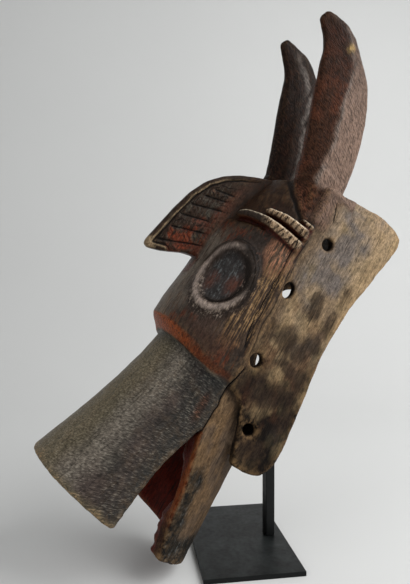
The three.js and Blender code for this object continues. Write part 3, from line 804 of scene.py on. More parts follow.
def coat_crest_and_brow(surface, coat, colours):
    """The crest's dark flanks with red rubbed between the strips, and the brow bands with a painted
    highlight on their upper edge and painted shade along both sides.
    """
    place = surface.place
    red = soft(mixed_lumps(place, 16, 145) - 0.2 + (235 - surface.up) * 0.008, 0.4)
    coat.lay(surface.crest, colours["crest"], colours["crest_grey"], 0.4)
    coat.lay(surface.crest * red, under=colours["crest_red"], wear=0.55)
    rim, _ = near_line(surface.out, surface.up, CREST_RIM)
    coat.lay(surface.crest * soft(5 - np.abs(rim), 2), colours["crest"], colours["crest_grey"], 0.3)
    pale_line = soft(0.5 - np.abs(np.abs(rim) - 6 + 1.5 * lumps(place, 11, 148)), 1)
    broken = soft(0.55 + lumps(place, 13, 146), 0.4)
    coat.lay(surface.crest * pale_line * broken * 0.8, colours["crest_pale"], colours["crest"], 0.3)
    tip_out, tip_up = CREST_TIP
    tip = soft(9 - np.hypot(surface.out - tip_out, surface.up - tip_up) + 3 * lumps(place, 6, 143), 6)
    coat.lay(surface.crest * tip * 0.5, colours["crest_pale"], colours["crest_red"], 0.4)
    foot = soft(surface.front + 12 - surface.out + 3 * lumps(place, 9, 147), 6)
    coat.lay(surface.crest * foot * 0.5, colours["crest_red"], colours["crest"], 0.5)
    high = soft(surface.up - 306 + 8 * lumps(place, 14, 144), 20)
    coat.lay(surface.crest * high * 0.7, colours["crest"], wear=0.2)
    forehead = surface.block * soft(surface.up - 262, 8) * soft(surface.turn - 10, 12)
    coat.lay(forehead, colours["forehead"], colours["paint_red"], 0.25)
    for off, half, share, proud, notched in surface.bands:
        along = soft(share, 0.1) * soft(1 - share, 0.1) * surface.block
        on_band = soft(half - np.abs(off), 1.5) * proud * surface.block
        rubbed = notched * soft(0.7 + lumps(place, 14, 149), 0.6)
        coat.lay(on_band, colours["paint"], colours["paint_brown"], 0.4)
        coat.lay(on_band * rubbed, colours["brow"], colours["paint_brown"], 0.42)
        # Painted highlight: a pale line along each band's upper edge
        crown = soft(0.9 - np.abs(off - half * 0.75 + 0.8 * lumps(place, 9, 150)), 1)
        crown = crown * soft(0.6 + lumps(place, 11, 152), 0.4)
        coat.lay(on_band * crown, colours["brow_pale"], colours["brow"], 0.3)
        # Painted shadow: red darkened along the underside of each band, and painted shade in the groove
        # above it
        coat.lay(soft(2.2 - np.abs(off + half + 2), 2) * along, colours["deep_red"], colours["pore"], 0.4)
        coat.lay(soft(2.4 - np.abs(off - half - 2), 2) * along, colours["pore"], colours["deep_red"], 0.2)


def coat_horns(surface, coat, colours):
    """Red-brown paint on the front of each horn and paler rubbed wood on its outer side, partly a painted
    sheen; the far horn is painted darker as shade, with painted highlights along the ridges and down the
    far horn.
    """
    place = surface.place
    behind_root = soft(112 - surface.out + 6 * lumps(place, 12, 152), 16)
    coat.lay(surface.root, colours["horn"], colours["horn_warm"], 0.5)
    # The back of each horn's root gets the same rubbed wood and painted sheen
    coat.lay(surface.root * behind_root * 0.8, colours["horn_rubbed"], colours["horn_dark"], 0.5)
    coat.lay(surface.root_groove * 0.85, colours["pore"], wear=0.1)
    coat.lay(surface.horn, colours["horn"], colours["horn_dark"], 0.35)
    warm = soft(mixed_lumps(place, (12, 12, 22), 153) - 0.15, 0.4)
    coat.lay(surface.horn * warm * 0.7, colours["horn_warm"])
    # The paler outer side of each horn is rubbed wood, made lighter still as a painted sheen of the light
    # at the right
    behind = surface.horn_ridge - surface.horn_share + 0.06 * mixed_lumps(place, (9, 9, 30), 151)
    rubbed = surface.horn * surface.horn_outer * soft(behind, 0.09) * soft(575 - surface.up, 60)
    coat.lay(rubbed * 0.9, colours["horn_rubbed"], colours["horn_dark"], 0.42)
    # Painted highlight: a pale line along each horn's ridge
    ridge = soft(0.025 - np.abs(behind - 0.02), 0.04) * soft(0.5 + lumps(place, (12, 12, 30), 156), 0.5)
    coat.lay(surface.horn * surface.horn_outer * ridge * 0.6, colours["horn_glint"])
    coat.lay(surface.horn * soft(surface.up - 510, 90) * 0.45, colours["horn_dark"])
    # Painted shade: the far horn is painted darker than the near one, though both carry the same paint
    far = surface.horn * soft(-surface.x, 10)
    coat.lay(far * 0.8, colours["horn_dark"], colours["horn"], 0.4)
    # Painted highlight: a pale streak down the middle of the far horn
    glint = soft(0.07 - np.abs(surface.horn_share - 0.5 + 0.05 * lumps(place, 14, 157)), 0.06)
    glint = glint * soft(0.4 + lumps(place, (9, 9, 30), 159), 0.5) * soft(560 - surface.up, 30)
    coat.lay(far * glint * 0.8, colours["horn_glint"], colours["horn_dark"], 0.3)
    chip_out, chip_up = HORN_CHIP
    chip = 5 - np.hypot(surface.out - chip_out, surface.up - chip_up) + 3 * lumps(place, 4, 155)
    chip = soft(chip, 4) * surface.horn_outer
    coat.lay(surface.horn * chip, colours["chip"], colours["horn"], 0.45)


def coat_muzzle(surface, coat, colours):
    """Charcoal paint on the muzzle, browner along its top, speckled and worn at its rim, with a painted
    highlight band along it, a painted shade band below that and a thin painted highlight under the face.
    """
    place = surface.place
    coat.lay(surface.muzzle, colours["muzzle"], colours["muzzle_pale"], 0.3)
    turn = surface.muzzle_turn + 7 * mixed_lumps(place, 34, 161)
    warm = soft(mixed_lumps(place, (30, 30, 50), 164) + 0.1, 0.5) * soft(turn - 15, 20)
    coat.lay(surface.muzzle * warm * 0.6, colours["muzzle_warm"])
    brown = soft(turn - 52, 24) * soft(surface.along - 10, 60)
    coat.lay(surface.muzzle * brown * 0.85, colours["muzzle_tan"], wear=0.36)
    # Painted highlight: a light band along the muzzle where the light from above is reflected
    ridge = soft(8 - np.abs(turn - 44), 16) * soft(surface.along - 30, 60)
    coat.lay(surface.muzzle * ridge * 0.85, colours["muzzle_light"], wear=0.5)
    # Painted shade: a darker band along the muzzle, below the painted highlight
    shade = soft(6 - np.abs(turn - 26), 12) * soft(surface.along - 110, 60)
    coat.lay(surface.muzzle * shade * 0.6, wear=0.2)
    near_lip = soft(7 - np.abs(turn - 12), 12) * soft(surface.along - 60, 40)
    coat.lay(surface.muzzle * near_lip * 0.6, wear=0.44)
    dark = soft(mixed_lumps(place, (26, 26, 40), 163) - 0.15, 0.5)
    coat.lay(surface.muzzle * dark * 0.6, wear=0.2)
    root = soft(26 + 6 * lumps(place, 20, 162) + surface.foot, 18) * soft(turn - 10, 14)
    coat.lay(surface.muzzle * root * 0.7, colours["muzzle_dark"], wear=0.26)
    edge = soft(surface.muzzle_rise, 0.1)
    worn = soft(surface.along - MUZZLE_LENGTH + 7 + 9 * mixed_lumps(place, 12, 165), 10) * edge
    coat.lay(surface.muzzle * worn, colours["muzzle_tan"], colours["fibre"], 0.5)
    rust = patch(surface, RUSTY_LIP, seed=5) * soft(surface.side - 70, 8)
    coat.lay(surface.muzzle * rust * 0.65, colours["rust_dark"], colours["rust"], 0.45)
    # Painted highlight: a thin pale line along the muzzle just under the face's rusty foot
    painted_highlight_under_face = soft(2.2 - np.abs(surface.foot + 17), 1.5) * soft(turn - 20, 20) * surface.muzzle
    coat.lay(painted_highlight_under_face * soft(lumps(place, 14, 166) + 0.2, 0.4), colours["muzzle_pale"])


def coat_jaw(surface, coat, colours):
    """Dark paint along the lower jaw's edge, raw wood behind it and red in the mouth."""
    place = surface.place
    edge = linear_between(ARM_EDGE, surface.up)
    coat.lay(surface.jaw, colours["jaw_raw"], colours["bare_dark"], 0.36)
    raw = soft(surface.out - 52 + 10 * lumps(place, (12, 12, 40), 173), 22)
    coat.lay(surface.jaw * raw * soft(50 - surface.up, 30), colours["jaw_tan"], colours["jaw_raw"], 0.4)
    cheek = patch(surface, TAN_CHEEK, 0.4, seed=7)
    coat.lay(surface.jaw * cheek * 0.5, colours["jaw_tan"], colours["bare_ochre"], 0.4)
    grey = patch(surface, GREY_CHEEK, 0.4, seed=8)
    coat.lay(surface.jaw * grey * 0.7, colours["jaw_grey"], colours["bare_dark"], 0.35)
    blots = soft(mixed_lumps(place, (9, 9, 17), 174, 4) - 0.12, 0.4)
    coat.lay(surface.jaw * blots * 0.6, colours["jaw_grey"], colours["bare_dark"], 0.5)
    ragged = 7 * mixed_lumps(place, (7, 7, 24), 171)
    painted = soft(surface.out - edge + 24 + ragged, 4) * soft(-30 - surface.up + 2 * ragged, 24)
    painted = np.maximum(painted, soft(-112 - surface.up + (60 - surface.out) * 0.3 + ragged, 6))
    coat.lay(surface.jaw * painted, colours["jaw"], colours["disc_blue"], 0.35)
    top = surface.jaw * soft(surface.facing[:, 1] - 0.6, 0.4) * soft(surface.out - edge + 11, 4)
    coat.lay(top, colours["rust_dark"], colours["jaw_tan"], 0.3)
    coat.lay(top * soft(surface.up + 96, 30) * 0.8, colours["rust"], colours["rust_dark"], 0.45)
    coat.lay(surface.mouth, colours["mouth"], colours["pore"], 0.3)


def coated(surface, colours):
    """All the paint and wood of the carving, before the finer wear of its material."""
    coat = Coat(len(surface.x), colours["bare_top"], colours["bare_dark"], 0.22)
    for lay in (coat_bare_wood, coat_face, coat_eye, coat_crest_and_brow, coat_muzzle, coat_jaw,
                coat_horns):
        lay(surface, coat, colours)
    return coat


def keep(mesh, name, values, kind="FLOAT"):
    """Stores one value for each point, which the material reads."""
    attribute = mesh.attributes.new(name, kind, "POINT")
    field = {"FLOAT": "value", "FLOAT_VECTOR": "vector", "FLOAT_COLOR": "color"}[kind]
    attribute.data.foreach_set(field, np.asarray(values, np.float32).ravel())


def keep_colour(mesh, name, values):
    """Stores one colour for each point."""
    values = np.clip(values, 0, 1)
    keep(mesh, name, np.column_stack([values, np.ones(len(values))]), "FLOAT_COLOR")


def nearest_cut_and_shade_line(surface):
    """The crack or painted shade line nearest to each point, signed, and how dark it is: the cracks, and
    shade painted into the crest's sunk lines, round the shaded side of the eye, under its disc and beside
    the seam ridge.
    """
    flank_line, flank = crest_lines(surface)
    crack, _, half, cracked = cracks(surface)
    groove = (surface.eye_reach - RING_INNER) * EYE_HALF[1] * 0.8
    shaded_bottom = soft(0.45 * surface.eye_wide - 0.85 * surface.eye_tall - 20, 12)
    outline = (surface.eye_reach - 1.02 + 0.02 * lumps(surface.place, 9, 137)) * EYE_HALF[1] * 0.6
    shaded = soft(surface.eye_tall + surface.eye_wide + 10, 40)
    eye = surface.block * soft(surface.turn - 4, 4)
    roll, beside = seam_line(surface)
    nearest = np.full(len(surface.x), 99.0)
    strength = np.zeros(len(surface.x))
    for apart, here in ((flank_line, flank * 0.8), (crack / half, np.minimum(cracked * 2, 1)),
                        (groove, eye * shaded_bottom * 0.6), (outline, eye * 0.5 * shaded),
                        (np.abs(roll) - 4.6, beside * 0.55)):
        closer = (np.abs(apart) < np.abs(nearest)) & (here > 0.02)
        nearest = np.where(closer, apart, nearest)
        strength = np.where(closer, here, strength)
    return nearest, strength


def mark(mesh, surface, colours, hatch_pitch):
    """Stores the tones, the run of the grain and the wear on the mesh."""
    coat = coated(surface, colours)
    keep_colour(mesh, "tone", coat.tone)
    keep_colour(mesh, "under", coat.under)
    keep(mesh, "wear", coat.wear)
    grain = surface.place.copy()
    muzzle_grain = np.stack([surface.x, surface.muzzle_rise * 90, surface.along], axis=1)
    grain = np.where(surface.muzzle[:, None] > 0.5, muzzle_grain, grain)
    horn_grain = np.stack([surface.x, surface.out - surface.horn_middle, surface.up], axis=1)
    grain = np.where(surface.horn[:, None] > 0.5, horn_grain, grain)
    keep(mesh, "grain", grain, "FLOAT_VECTOR")
    painted = np.clip(surface.block * soft(surface.turn - 4, 8) + surface.muzzle + surface.crest, 0, 1)
    painted = np.clip(painted + surface.horn + surface.root + surface.mouth, 0, 1)
    keep(mesh, "bare", 1 - painted)
    eye = surface.block * soft(1.12 - surface.eye_reach, 0.12)
    keep(mesh, "patchy", np.clip(1 - painted + surface.crest + eye, 0, 1))
    horn = np.maximum(surface.horn, surface.root)
    keep(mesh, "strokes", np.clip(surface.muzzle + 0.8 * horn, 0, 1))
    keep(mesh, "gloss", np.clip(horn + 0.5 * surface.crest, 0, 1))
    even = surface.smoothed(12)
    proud = ((surface.place - even) * surface.facing).sum(axis=1)
    plain = np.max([shape * (1 - notched) for _, _, _, shape, notched in surface.bands], axis=0)
    kept = (1 - 0.85 * surface.crest) * (1 - 0.6 * surface.horn) * (1 - 0.85 * plain)
    kept = kept * (1 - 0.7 * surface.block * soft(1.15 - surface.eye_reach, 0.1))
    keep(mesh, "edge", np.clip(proud / 1.6, 0, 1) * kept)
    # How sunk each point lies, which the material turns into darker recesses
    keep(mesh, "dirt", np.clip(-proud / 1.6, 0, 1))
    apart, strength = nearest_cut_and_shade_line(surface)
    keep(mesh, "cut", np.clip(apart, -9, 9))
    keep(mesh, "cut_here", strength)
    phase, here = hatch(surface, hatch_pitch)
    keep(mesh, "hatch", phase)
    keep(mesh, "hatch_here", here)


class Nodes:
    """Builds the node tree of one material."""

    def __init__(self, name):
        self.material = bpy.data.materials.new(name)
        self.material.use_nodes = True
        self.tree = self.material.node_tree
        self.shader = self.tree.nodes["Principled BSDF"]

    def node(self, kind, inputs=None, **settings):
        """Adds one node; an input is a value or the output of another node."""
        node = self.tree.nodes.new("ShaderNode" + kind)
        for key, value in settings.items():
            setattr(node, key, value)
        for key, value in (inputs or {}).items():
            self.put(node.inputs[key], value)
        return node

    def put(self, socket, value):
        if isinstance(value, bpy.types.NodeSocket):
            self.tree.links.new(value, socket)
        else:
            socket.default_value = value

    def read(self, name, output="Fac"):
        return self.node("Attribute", attribute_name=name).outputs[output]

    def scaled(self, vector, scale):
        return self.node("VectorMath", {0: vector, 1: scale}, operation="MULTIPLY").outputs["Vector"]

    def noise(self, vector, size, detail=2.0, rough=0.55):
        """Noise whose lumps measure size in the vector's units, along each axis."""
        size = (size, size, size) if isinstance(size, (int, float)) else size
        spread = self.scaled(vector, tuple(1 / s for s in size))
        inputs = {"Vector": spread, "Scale": 1.0, "Detail": detail, "Roughness": rough}
        return self.node("TexNoise", inputs).outputs["Fac"]

    def range(self, value, low, high, to_low=0.0, to_high=1.0):
        inputs = {"Value": value, "From Min": low, "From Max": high, "To Min": to_low, "To Max": to_high}
        return self.node("MapRange", inputs).outputs["Result"]

    def math(self, operation, first, second):
        return self.node("Math", {0: first, 1: second}, operation=operation).outputs["Value"]

    def average(self, first, second, share):
        """The first value turned into the second by the share."""
        node = self.node("Mix", data_type="FLOAT")
        for name, value in (("Factor", share), ("A", first), ("B", second)):
            self.put(node.inputs[name], value)
        return node.outputs["Result"]

    def mix(self, share, first, second, blend="MIX"):
        node = self.node("Mix", data_type="RGBA", blend_type=blend)
        self.put(node.inputs["Factor"], share)
        self.put(node.inputs["A"], first if isinstance(first, bpy.types.NodeSocket) else (*first, 1))
        self.put(node.inputs["B"], second if isinstance(second, bpy.types.NodeSocket) else (*second, 1))
        return node.outputs["Result"]

    def bump(self, height, strength, distance):
        inputs = {"Height": height, "Strength": strength, "Distance": distance}
        return self.node("Bump", inputs).outputs["Normal"]


def carved_wood_material(colours):
    """Old wood under worn paint: two tones with grain, pores, notches, darker recesses, painted shade lines
    and rubbed edges.
    """
    nodes = Nodes("carved_wood")
    grain = nodes.read("grain", "Vector")
    bare = nodes.read("bare")
    strokes = nodes.read("strokes")
    slant = {"Vector": grain, "Angle": STROKE_SLANT}
    across = nodes.node("VectorRotate", slant, rotation_type="X_AXIS")
    stroke = nodes.noise(across.outputs["Vector"], (2.6, 1.6, 7), 3, 0.62)
    streak = nodes.noise(grain, (2.0, 2.0, 36), 5, 0.64)
    fibre = nodes.noise(grain, (1.9, 1.9, 13), 4, 0.66)
    mottle = nodes.noise(grain, (6, 6, 9), 6, 0.72)
    speck = nodes.noise(grain, (2.4, 2.4, 4.2), 5, 0.7)
    along = nodes.average(streak, nodes.average(mottle, speck, nodes.math("MULTIPLY", bare, 0.5)),
                          nodes.range(nodes.read("patchy"), 0, 1, 0.2, 0.5))
    pattern = nodes.average(along, nodes.average(stroke, mottle, 0.25), strokes)
    worn = nodes.math("MULTIPLY", nodes.read("wear"), 1.2)
    level = nodes.math("ADD", nodes.range(pattern, 0.3, 0.7, 0.0, 1.0), worn)
    clear = nodes.math("ADD", nodes.range(bare, 0, 1, 1.2, 1.4), nodes.math("MULTIPLY", strokes, 0.55))
    shown = nodes.range(level, 0.98, clear)
    colour = nodes.mix(shown, nodes.read("tone", "Color"), nodes.read("under", "Color"))
    fine = nodes.average(nodes.average(fibre, speck, 0.55), stroke, nodes.math("MULTIPLY", strokes, 0.8))
    dull = nodes.math("MULTIPLY", bare, 0.16)
    darker, lighter = nodes.math("SUBTRACT", 0.76, dull), nodes.math("ADD", 1.24, dull)
    uneven = nodes.range(mottle, 0.3, 0.7, darker, lighter)
    shade = nodes.math("MULTIPLY", uneven, nodes.range(fine, 0.36, 0.64, 0.42, 1.58))
    polish = nodes.read("gloss")
    stroked = nodes.average(1.0, nodes.range(stroke, 0.4, 0.6, 0.6, 1.35), polish)
    shade = nodes.math("MULTIPLY", shade, stroked)
    grey = nodes.node("CombineColor", {0: shade, 1: shade, 2: shade}).outputs[0]
    colour = nodes.mix(1.0, colour, grey, "MULTIPLY")
    pits = nodes.math("MULTIPLY", nodes.range(streak, 0.56, 0.66), 0.55)
    colour = nodes.mix(pits, colour, colours["pore"])
    shaken = nodes.math("ADD", nodes.read("hatch"), nodes.range(mottle, 0.3, 0.7, -0.1, 0.1))
    ticks = nodes.math("PINGPONG", shaken, 0.5)
    hatched = nodes.read("hatch_here")
    notch = nodes.math("MULTIPLY", nodes.range(ticks, 0.2, 0.05), hatched)
    tops = nodes.math("MULTIPLY", nodes.range(ticks, 0.28, 0.42), hatched)
    broken = nodes.range(mottle, 0.42, 0.58, 0.15, 0.8)
    colour = nodes.mix(nodes.math("MULTIPLY", tops, 0.15), colour, colours["fibre"])
    colour = nodes.mix(nodes.math("MULTIPLY", notch, broken), colour, colours["pore"])
    rub = nodes.math("MULTIPLY", nodes.read("edge"), nodes.range(mottle, 0.42, 0.58))
    rub = nodes.math("MULTIPLY", rub, nodes.range(bare, 0, 1, 0.28, 0.6))
    colour = nodes.mix(rub, colour, colours["fibre"])
    # Darker in the recesses of the carving, by how sunk they lie
    colour = nodes.mix(nodes.math("MULTIPLY", nodes.read("dirt"), 0.65), colour, colours["pore"])
    # Near-black lines of the cracks and of painted shade: in the crest's sunk lines, round the eye and
    # beside the seam ridge
    beside = nodes.math("ABSOLUTE", nodes.read("cut"), 0.0)
    wavy = nodes.math("ADD", beside, nodes.range(streak, 0.3, 0.7, -0.35, 0.35))
    gap = nodes.math("MULTIPLY", nodes.range(wavy, 1.15, 0.55), nodes.read("cut_here"))
    colour = nodes.mix(gap, colour, colours["crack"])
    nodes.put(nodes.shader.inputs["Base Color"], colour)
    uneven = nodes.range(mottle, 0.3, 0.7, -0.08, 0.12)
    rough = nodes.math("ADD", nodes.range(bare, 0, 1, 0.36, 0.62), uneven)
    rough = nodes.math("SUBTRACT", rough, nodes.math("MULTIPLY", polish, 0.1))
    nodes.put(nodes.shader.inputs["Roughness"], rough)
    shine = nodes.math("ADD", nodes.range(bare, 0, 1, 0.1, 0.08), nodes.math("MULTIPLY", polish, -0.05))
    nodes.put(nodes.shader.inputs["Specular IOR Level"], shine)
    height = nodes.math("MULTIPLY", streak, nodes.range(bare, 0, 1, 0.6, 1.3))
    height = nodes.math("ADD", height, nodes.math("MULTIPLY", nodes.math("ADD", fibre, speck), 0.6))
    height = nodes.math("ADD", height, nodes.math("MULTIPLY", nodes.math("MULTIPLY", stroke, strokes), 1.2))
    height = nodes.math("ADD", height, nodes.math("MULTIPLY", shown, -0.12))
    height = nodes.math("ADD", height, nodes.math("MULTIPLY", notch, -1.0))
    height = nodes.math("ADD", height, nodes.math("MULTIPLY", gap, -1.0))
    nodes.put(nodes.shader.inputs["Normal"], nodes.bump(height, 1.0, 1.0 * MM))
    return nodes.material


def black_steel_material(colours):
    """Satin black paint on steel, faintly dusty."""
    nodes = Nodes("black_steel")
    coordinates = nodes.node("TexCoord")
    place = coordinates.outputs["Object"]
    high = nodes.node("SeparateXYZ", {0: coordinates.outputs["Normal"]}).outputs["Z"]
    dust = nodes.math("MULTIPLY", nodes.range(nodes.noise(place, 22 * MM, 4), 0.4, 0.75, 0.0, 0.4), high)
    colour = nodes.mix(dust, colours["steel"], colours["dust"])
    nodes.put(nodes.shader.inputs["Base Color"], colour)
    rough = nodes.range(nodes.noise(place, 6 * MM, 3), 0.3, 0.7, 0.36, 0.5)
    nodes.put(nodes.shader.inputs["Roughness"], rough)
    nodes.put(nodes.shader.inputs["Specular IOR Level"], 0.2)
    nodes.put(nodes.shader.inputs["Normal"], nodes.bump(nodes.noise(place, 1.2 * MM, 2), 0.12, 0.1 * MM))
    return nodes.material


def paper_material(colour):
    """The pale paper of the studio floor."""
    nodes = Nodes("studio_paper")
    place = nodes.node("TexCoord").outputs["Object"]
    tone = nodes.range(nodes.noise(place, 0.5, 2), 0.3, 0.7, 0.0, 0.05)
    nodes.put(nodes.shader.inputs["Base Color"], nodes.mix(tone, colour, (0.5, 0.5, 0.5)))
    nodes.shader.inputs["Roughness"].default_value = 0.8
    return nodes.material


class MaskCarving(PropertyGroup):
    """How finely and deeply the mask is carved."""

    cell: FloatProperty(name="Cell", description="Size of the cells of the fine surface",
                        default=1.5 * MM, unit="LENGTH")
    triangles: IntProperty(name="Triangles", description="Most triangles in the finished mask",
                           default=190000)
    adze_depth: FloatProperty(name="Adze marks", description="Depth of the adze marks in mm", default=0.9)
    hatch_pitch: FloatProperty(name="Hatch pitch", description="Spacing of the notches in mm",
                               default=6.0)
    hatch_depth: FloatProperty(name="Hatch depth", description="Depth of the notches in mm", default=1.3)
    fullness: FloatProperty(name="Fullness", default=0.4,
                            description="Outward push in mm that makes up for the smoothing")
    edge_wear: FloatProperty(name="Edge wear", default=0.9,
                             description="Depth of the chips along the edges in mm")


def colour_property(name, description, colour):
    """A colour that the sidebar shows."""
    return FloatVectorProperty(name=name, description=description, default=colour, subtype="COLOR", size=3,
                               min=0, max=1)


class MaskPaint(PropertyGroup):
    """The colours of the wood and what is left of its paint."""

    bare_top: colour_property("Bare wood, top", "Unpainted log near the crown", srgb(140, 122, 102))
    bare_middle: colour_property("Bare wood, middle", "Unpainted log at half height", srgb(118, 97, 72))
    # Darker towards the foot, partly painted shade
    bare_low: colour_property("Bare wood, foot", "Unpainted log near its foot", srgb(22, 15, 10))
    bare_olive: colour_property("Olive stain", "Greenish brown stains on the bare log", srgb(98, 86, 60))
    bare_red: colour_property("Red-brown stain", "Reddish stains low on the bare log", srgb(74, 46, 32))
    bare_foot: colour_property("Bare wood, lowest", "Black wood at the foot of the log", srgb(10, 7, 5))
    bare_stain: colour_property("Stain", "Grey stains on the bare log", srgb(104, 98, 92))
    bare_ochre: colour_property("Ochre", "Warm patches of the bare log", srgb(160, 135, 101))
    bare_blue: colour_property("Blue stain", "Bluish stains on the bare log", srgb(98, 92, 90))
    bare_brown: colour_property("Brown stain", "Dark brown stains on the bare log", srgb(42, 31, 24))
    bare_dark: colour_property("Blots", "Dark blots on the bare log", srgb(44, 35, 28))
    seam: colour_property("Seam", "Brown wood beside the face", srgb(92, 74, 56))
    fibre: colour_property("Fibre", "Rubbed wood where paint is gone", srgb(150, 119, 83))
    paint: colour_property("Face paint", "Dark paint of the face block", srgb(46, 38, 33))
    paint_brown: colour_property("Brown paint", "Thin brown paint beside the eye", srgb(58, 46, 38))
    # Painted sheen: the grey of light on the paint along the nose and below the eye
    paint_grey: colour_property("Grey sheen", "Grey worn paint along the nose", srgb(104, 95, 85))
    paint_red: colour_property("Red under paint", "Red in the dark paint", srgb(88, 42, 26))
    paint_warm: colour_property("Warm paint", "Warm brown paint low on the cheek", srgb(60, 42, 34))
    orange: colour_property("Orange wear", "Orange wood behind the eye", srgb(156, 108, 82))
    rust: colour_property("Foot of the face", "Rusty paint under the face block", srgb(138, 66, 29))
    # Red in the brow's grooves, darkened as painted shadow under the bands
    deep_red: colour_property("Deep red", "Red in the grooves of the brow", srgb(64, 22, 14))
    ring: colour_property("Eye ring", "Dark brown ring of the eye", srgb(48, 38, 32))
    rubbed: colour_property("Rubbed ring", "Pale rubbing on the eye ring", srgb(138, 124, 112))
    # Also laid as the painted highlight along the ring's crown
    ring_pale: colour_property("Ring, worn", "Greyish wear along the ring", srgb(142, 128, 119))
    disc: colour_property("Eye disc", "Dark middle of the eye", srgb(48, 45, 44))
    disc_blue: colour_property("Eye disc, blue", "Blue-grey worn paint", srgb(96, 100, 100))
    disc_red: colour_property("Eye disc, red", "Dull red in the eye", srgb(92, 56, 44))
    crest: colour_property("Crest", "Dark brown of the crest", srgb(46, 34, 27))
    crest_grey: colour_property("Crest, grey", "Grey places of the crest", srgb(70, 66, 58))
    crest_red: colour_property("Crest, red", "Red rubbed into the crest", srgb(100, 46, 29))
    crest_pale: colour_property("Crest, pale line", "Rubbed line inside the rim", srgb(168, 146, 114))
    forehead: colour_property("Forehead", "Dark brown above the brow", srgb(42, 28, 19))
    brow: colour_property("Brow bands", "Rubbed wood of the brow bands", srgb(174, 148, 120))
    # The painted highlight along the brow bands' upper edge
    brow_pale: colour_property("Brow, edge", "Pale upper edge of the brow bands", srgb(222, 206, 180))
    horn: colour_property("Horn paint", "Red-brown front of the horns", srgb(58, 36, 25))
    horn_warm: colour_property("Horn, warm", "Warmer red on the horns", srgb(82, 46, 31))
    # Also laid over the whole far horn as painted shade
    horn_dark: colour_property("Horn, dark", "Dark marks on the horns", srgb(24, 18, 15))
    # Rubbed wood of the horns' outer sides, painted paler also as sheen
    horn_rubbed: colour_property("Horn, rubbed", "Outer side of the horns", srgb(128, 106, 93))
    # A painted highlight, laid along both horns' ridges and down the far horn
    horn_glint: colour_property("Horn, glint", "Polished streak of the left horn", srgb(112, 104, 98))
    chip: colour_property("Chip", "Fresh wood where a horn is chipped", srgb(176, 146, 92))
    muzzle: colour_property("Muzzle paint", "Charcoal paint of the muzzle", srgb(48, 46, 43))
    # Also laid as the thin painted highlight under the face
    muzzle_pale: colour_property("Muzzle, pale", "Pale specks of the muzzle", srgb(122, 117, 106))
    muzzle_tan: colour_property("Muzzle, brown", "Browner top of the muzzle", srgb(104, 95, 76))
    muzzle_warm: colour_property("Muzzle, warm", "Purplish brown of the muzzle", srgb(80, 68, 63))
    # The painted highlight along the muzzle
    muzzle_light: colour_property("Muzzle, light", "Rubbed band along the muzzle", srgb(112, 104, 94))
    muzzle_dark: colour_property("Muzzle, dark", "Darkest paint under the face", srgb(38, 39, 39))
    jaw: colour_property("Jaw paint", "Dark paint of the lower jaw", srgb(33, 31, 28))
    jaw_raw: colour_property("Jaw wood", "Brown wood of the lower jaw", srgb(88, 71, 55))
    jaw_grey: colour_property("Jaw, grey", "Greyed wood of the cheek", srgb(92, 78, 66))
    jaw_tan: colour_property("Jaw, tan", "Rubbed wood of the lower jaw", srgb(99, 78, 56))
    rust_dark: colour_property("Jaw edge", "Dark red edge of the jaw", srgb(48, 27, 17))
    mouth: colour_property("Mouth", "Red inside of the mouth", srgb(86, 22, 9))
    hollow: colour_property("Hollow", "Wood of the hollow", srgb(38, 29, 21))
    # Dark of pores, notches and recesses, also laid as painted shade in the tie holes, on the eye's ring
    # and disc and along the brow bands
    pore: colour_property("Pores", "Dark pores and dirt", srgb(24, 18, 14))
    # Also the near-black of the painted shade lines in the crest's sunk lines, round the eye and beside the
    # seam ridge
    crack: colour_property("Cracks", "The inside of the cracks", srgb(10, 8, 7))


class StandFinish(PropertyGroup):
    """The finish of the steel stand."""

    bevel: FloatProperty(name="Edge", description="Width of the worn edges", default=0.7 * MM,
                         unit="LENGTH")
    steel: colour_property("Paint", "Satin black paint", srgb(9, 11, 11))
    dust: colour_property("Dust", "Faint dust on the paint", srgb(58, 63, 63))


class Studio(PropertyGroup):
    """The floor, the light and the camera."""

    paper: colour_property("Paper", "Colour of the floor and backdrop", srgb(222, 223, 222))
    key_power: FloatProperty(name="Key light", description="Power of the main light", default=47,
                             unit="POWER")
    fill_power: FloatProperty(name="Fill light", description="Power of the light in front", default=8,
                              unit="POWER")
    air: FloatProperty(name="Air", description="Strength of the light from all round", default=0.32)
    lens: FloatProperty(name="Lens", description="Focal length", default=32.67, unit="CAMERA")


def values_of(group):
    """The colours of a property group by name."""
    return {key: tuple(getattr(group, key)) for key in group.__annotations__ if key != "bevel"}


class MASK_OT_carving(Operator):
    """Carves and paints the mask"""

    bl_idname = "mask.carving"
    bl_label = "Carve the mask"

    def execute(self, context):
        sizes = context.scene.mask_carving
        colours = values_of(context.scene.mask_paint)
        piece = solid_piece("carved_mask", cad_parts["mask"].data.copy())
        with_modifier(piece, "REMESH", mode="VOXEL", voxel_size=sizes.cell)
        surface = Surface(piece.data)
        carve(surface, sizes)
        surface.write(piece.data)
        triangles = 2 * len(piece.data.polygons)
        with_modifier(piece, "DECIMATE", ratio=min(1.0, sizes.triangles / triangles))
        surface = Surface(piece.data)
        surface.measure()
        mark(piece.data, surface, colours, sizes.hatch_pitch)
        piece.data.materials.clear()
        piece.data.materials.append(carved_wood_material(colours))
        piece.data.shade_smooth()
        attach(piece, "root")
        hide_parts("mask")
        return {"FINISHED"}


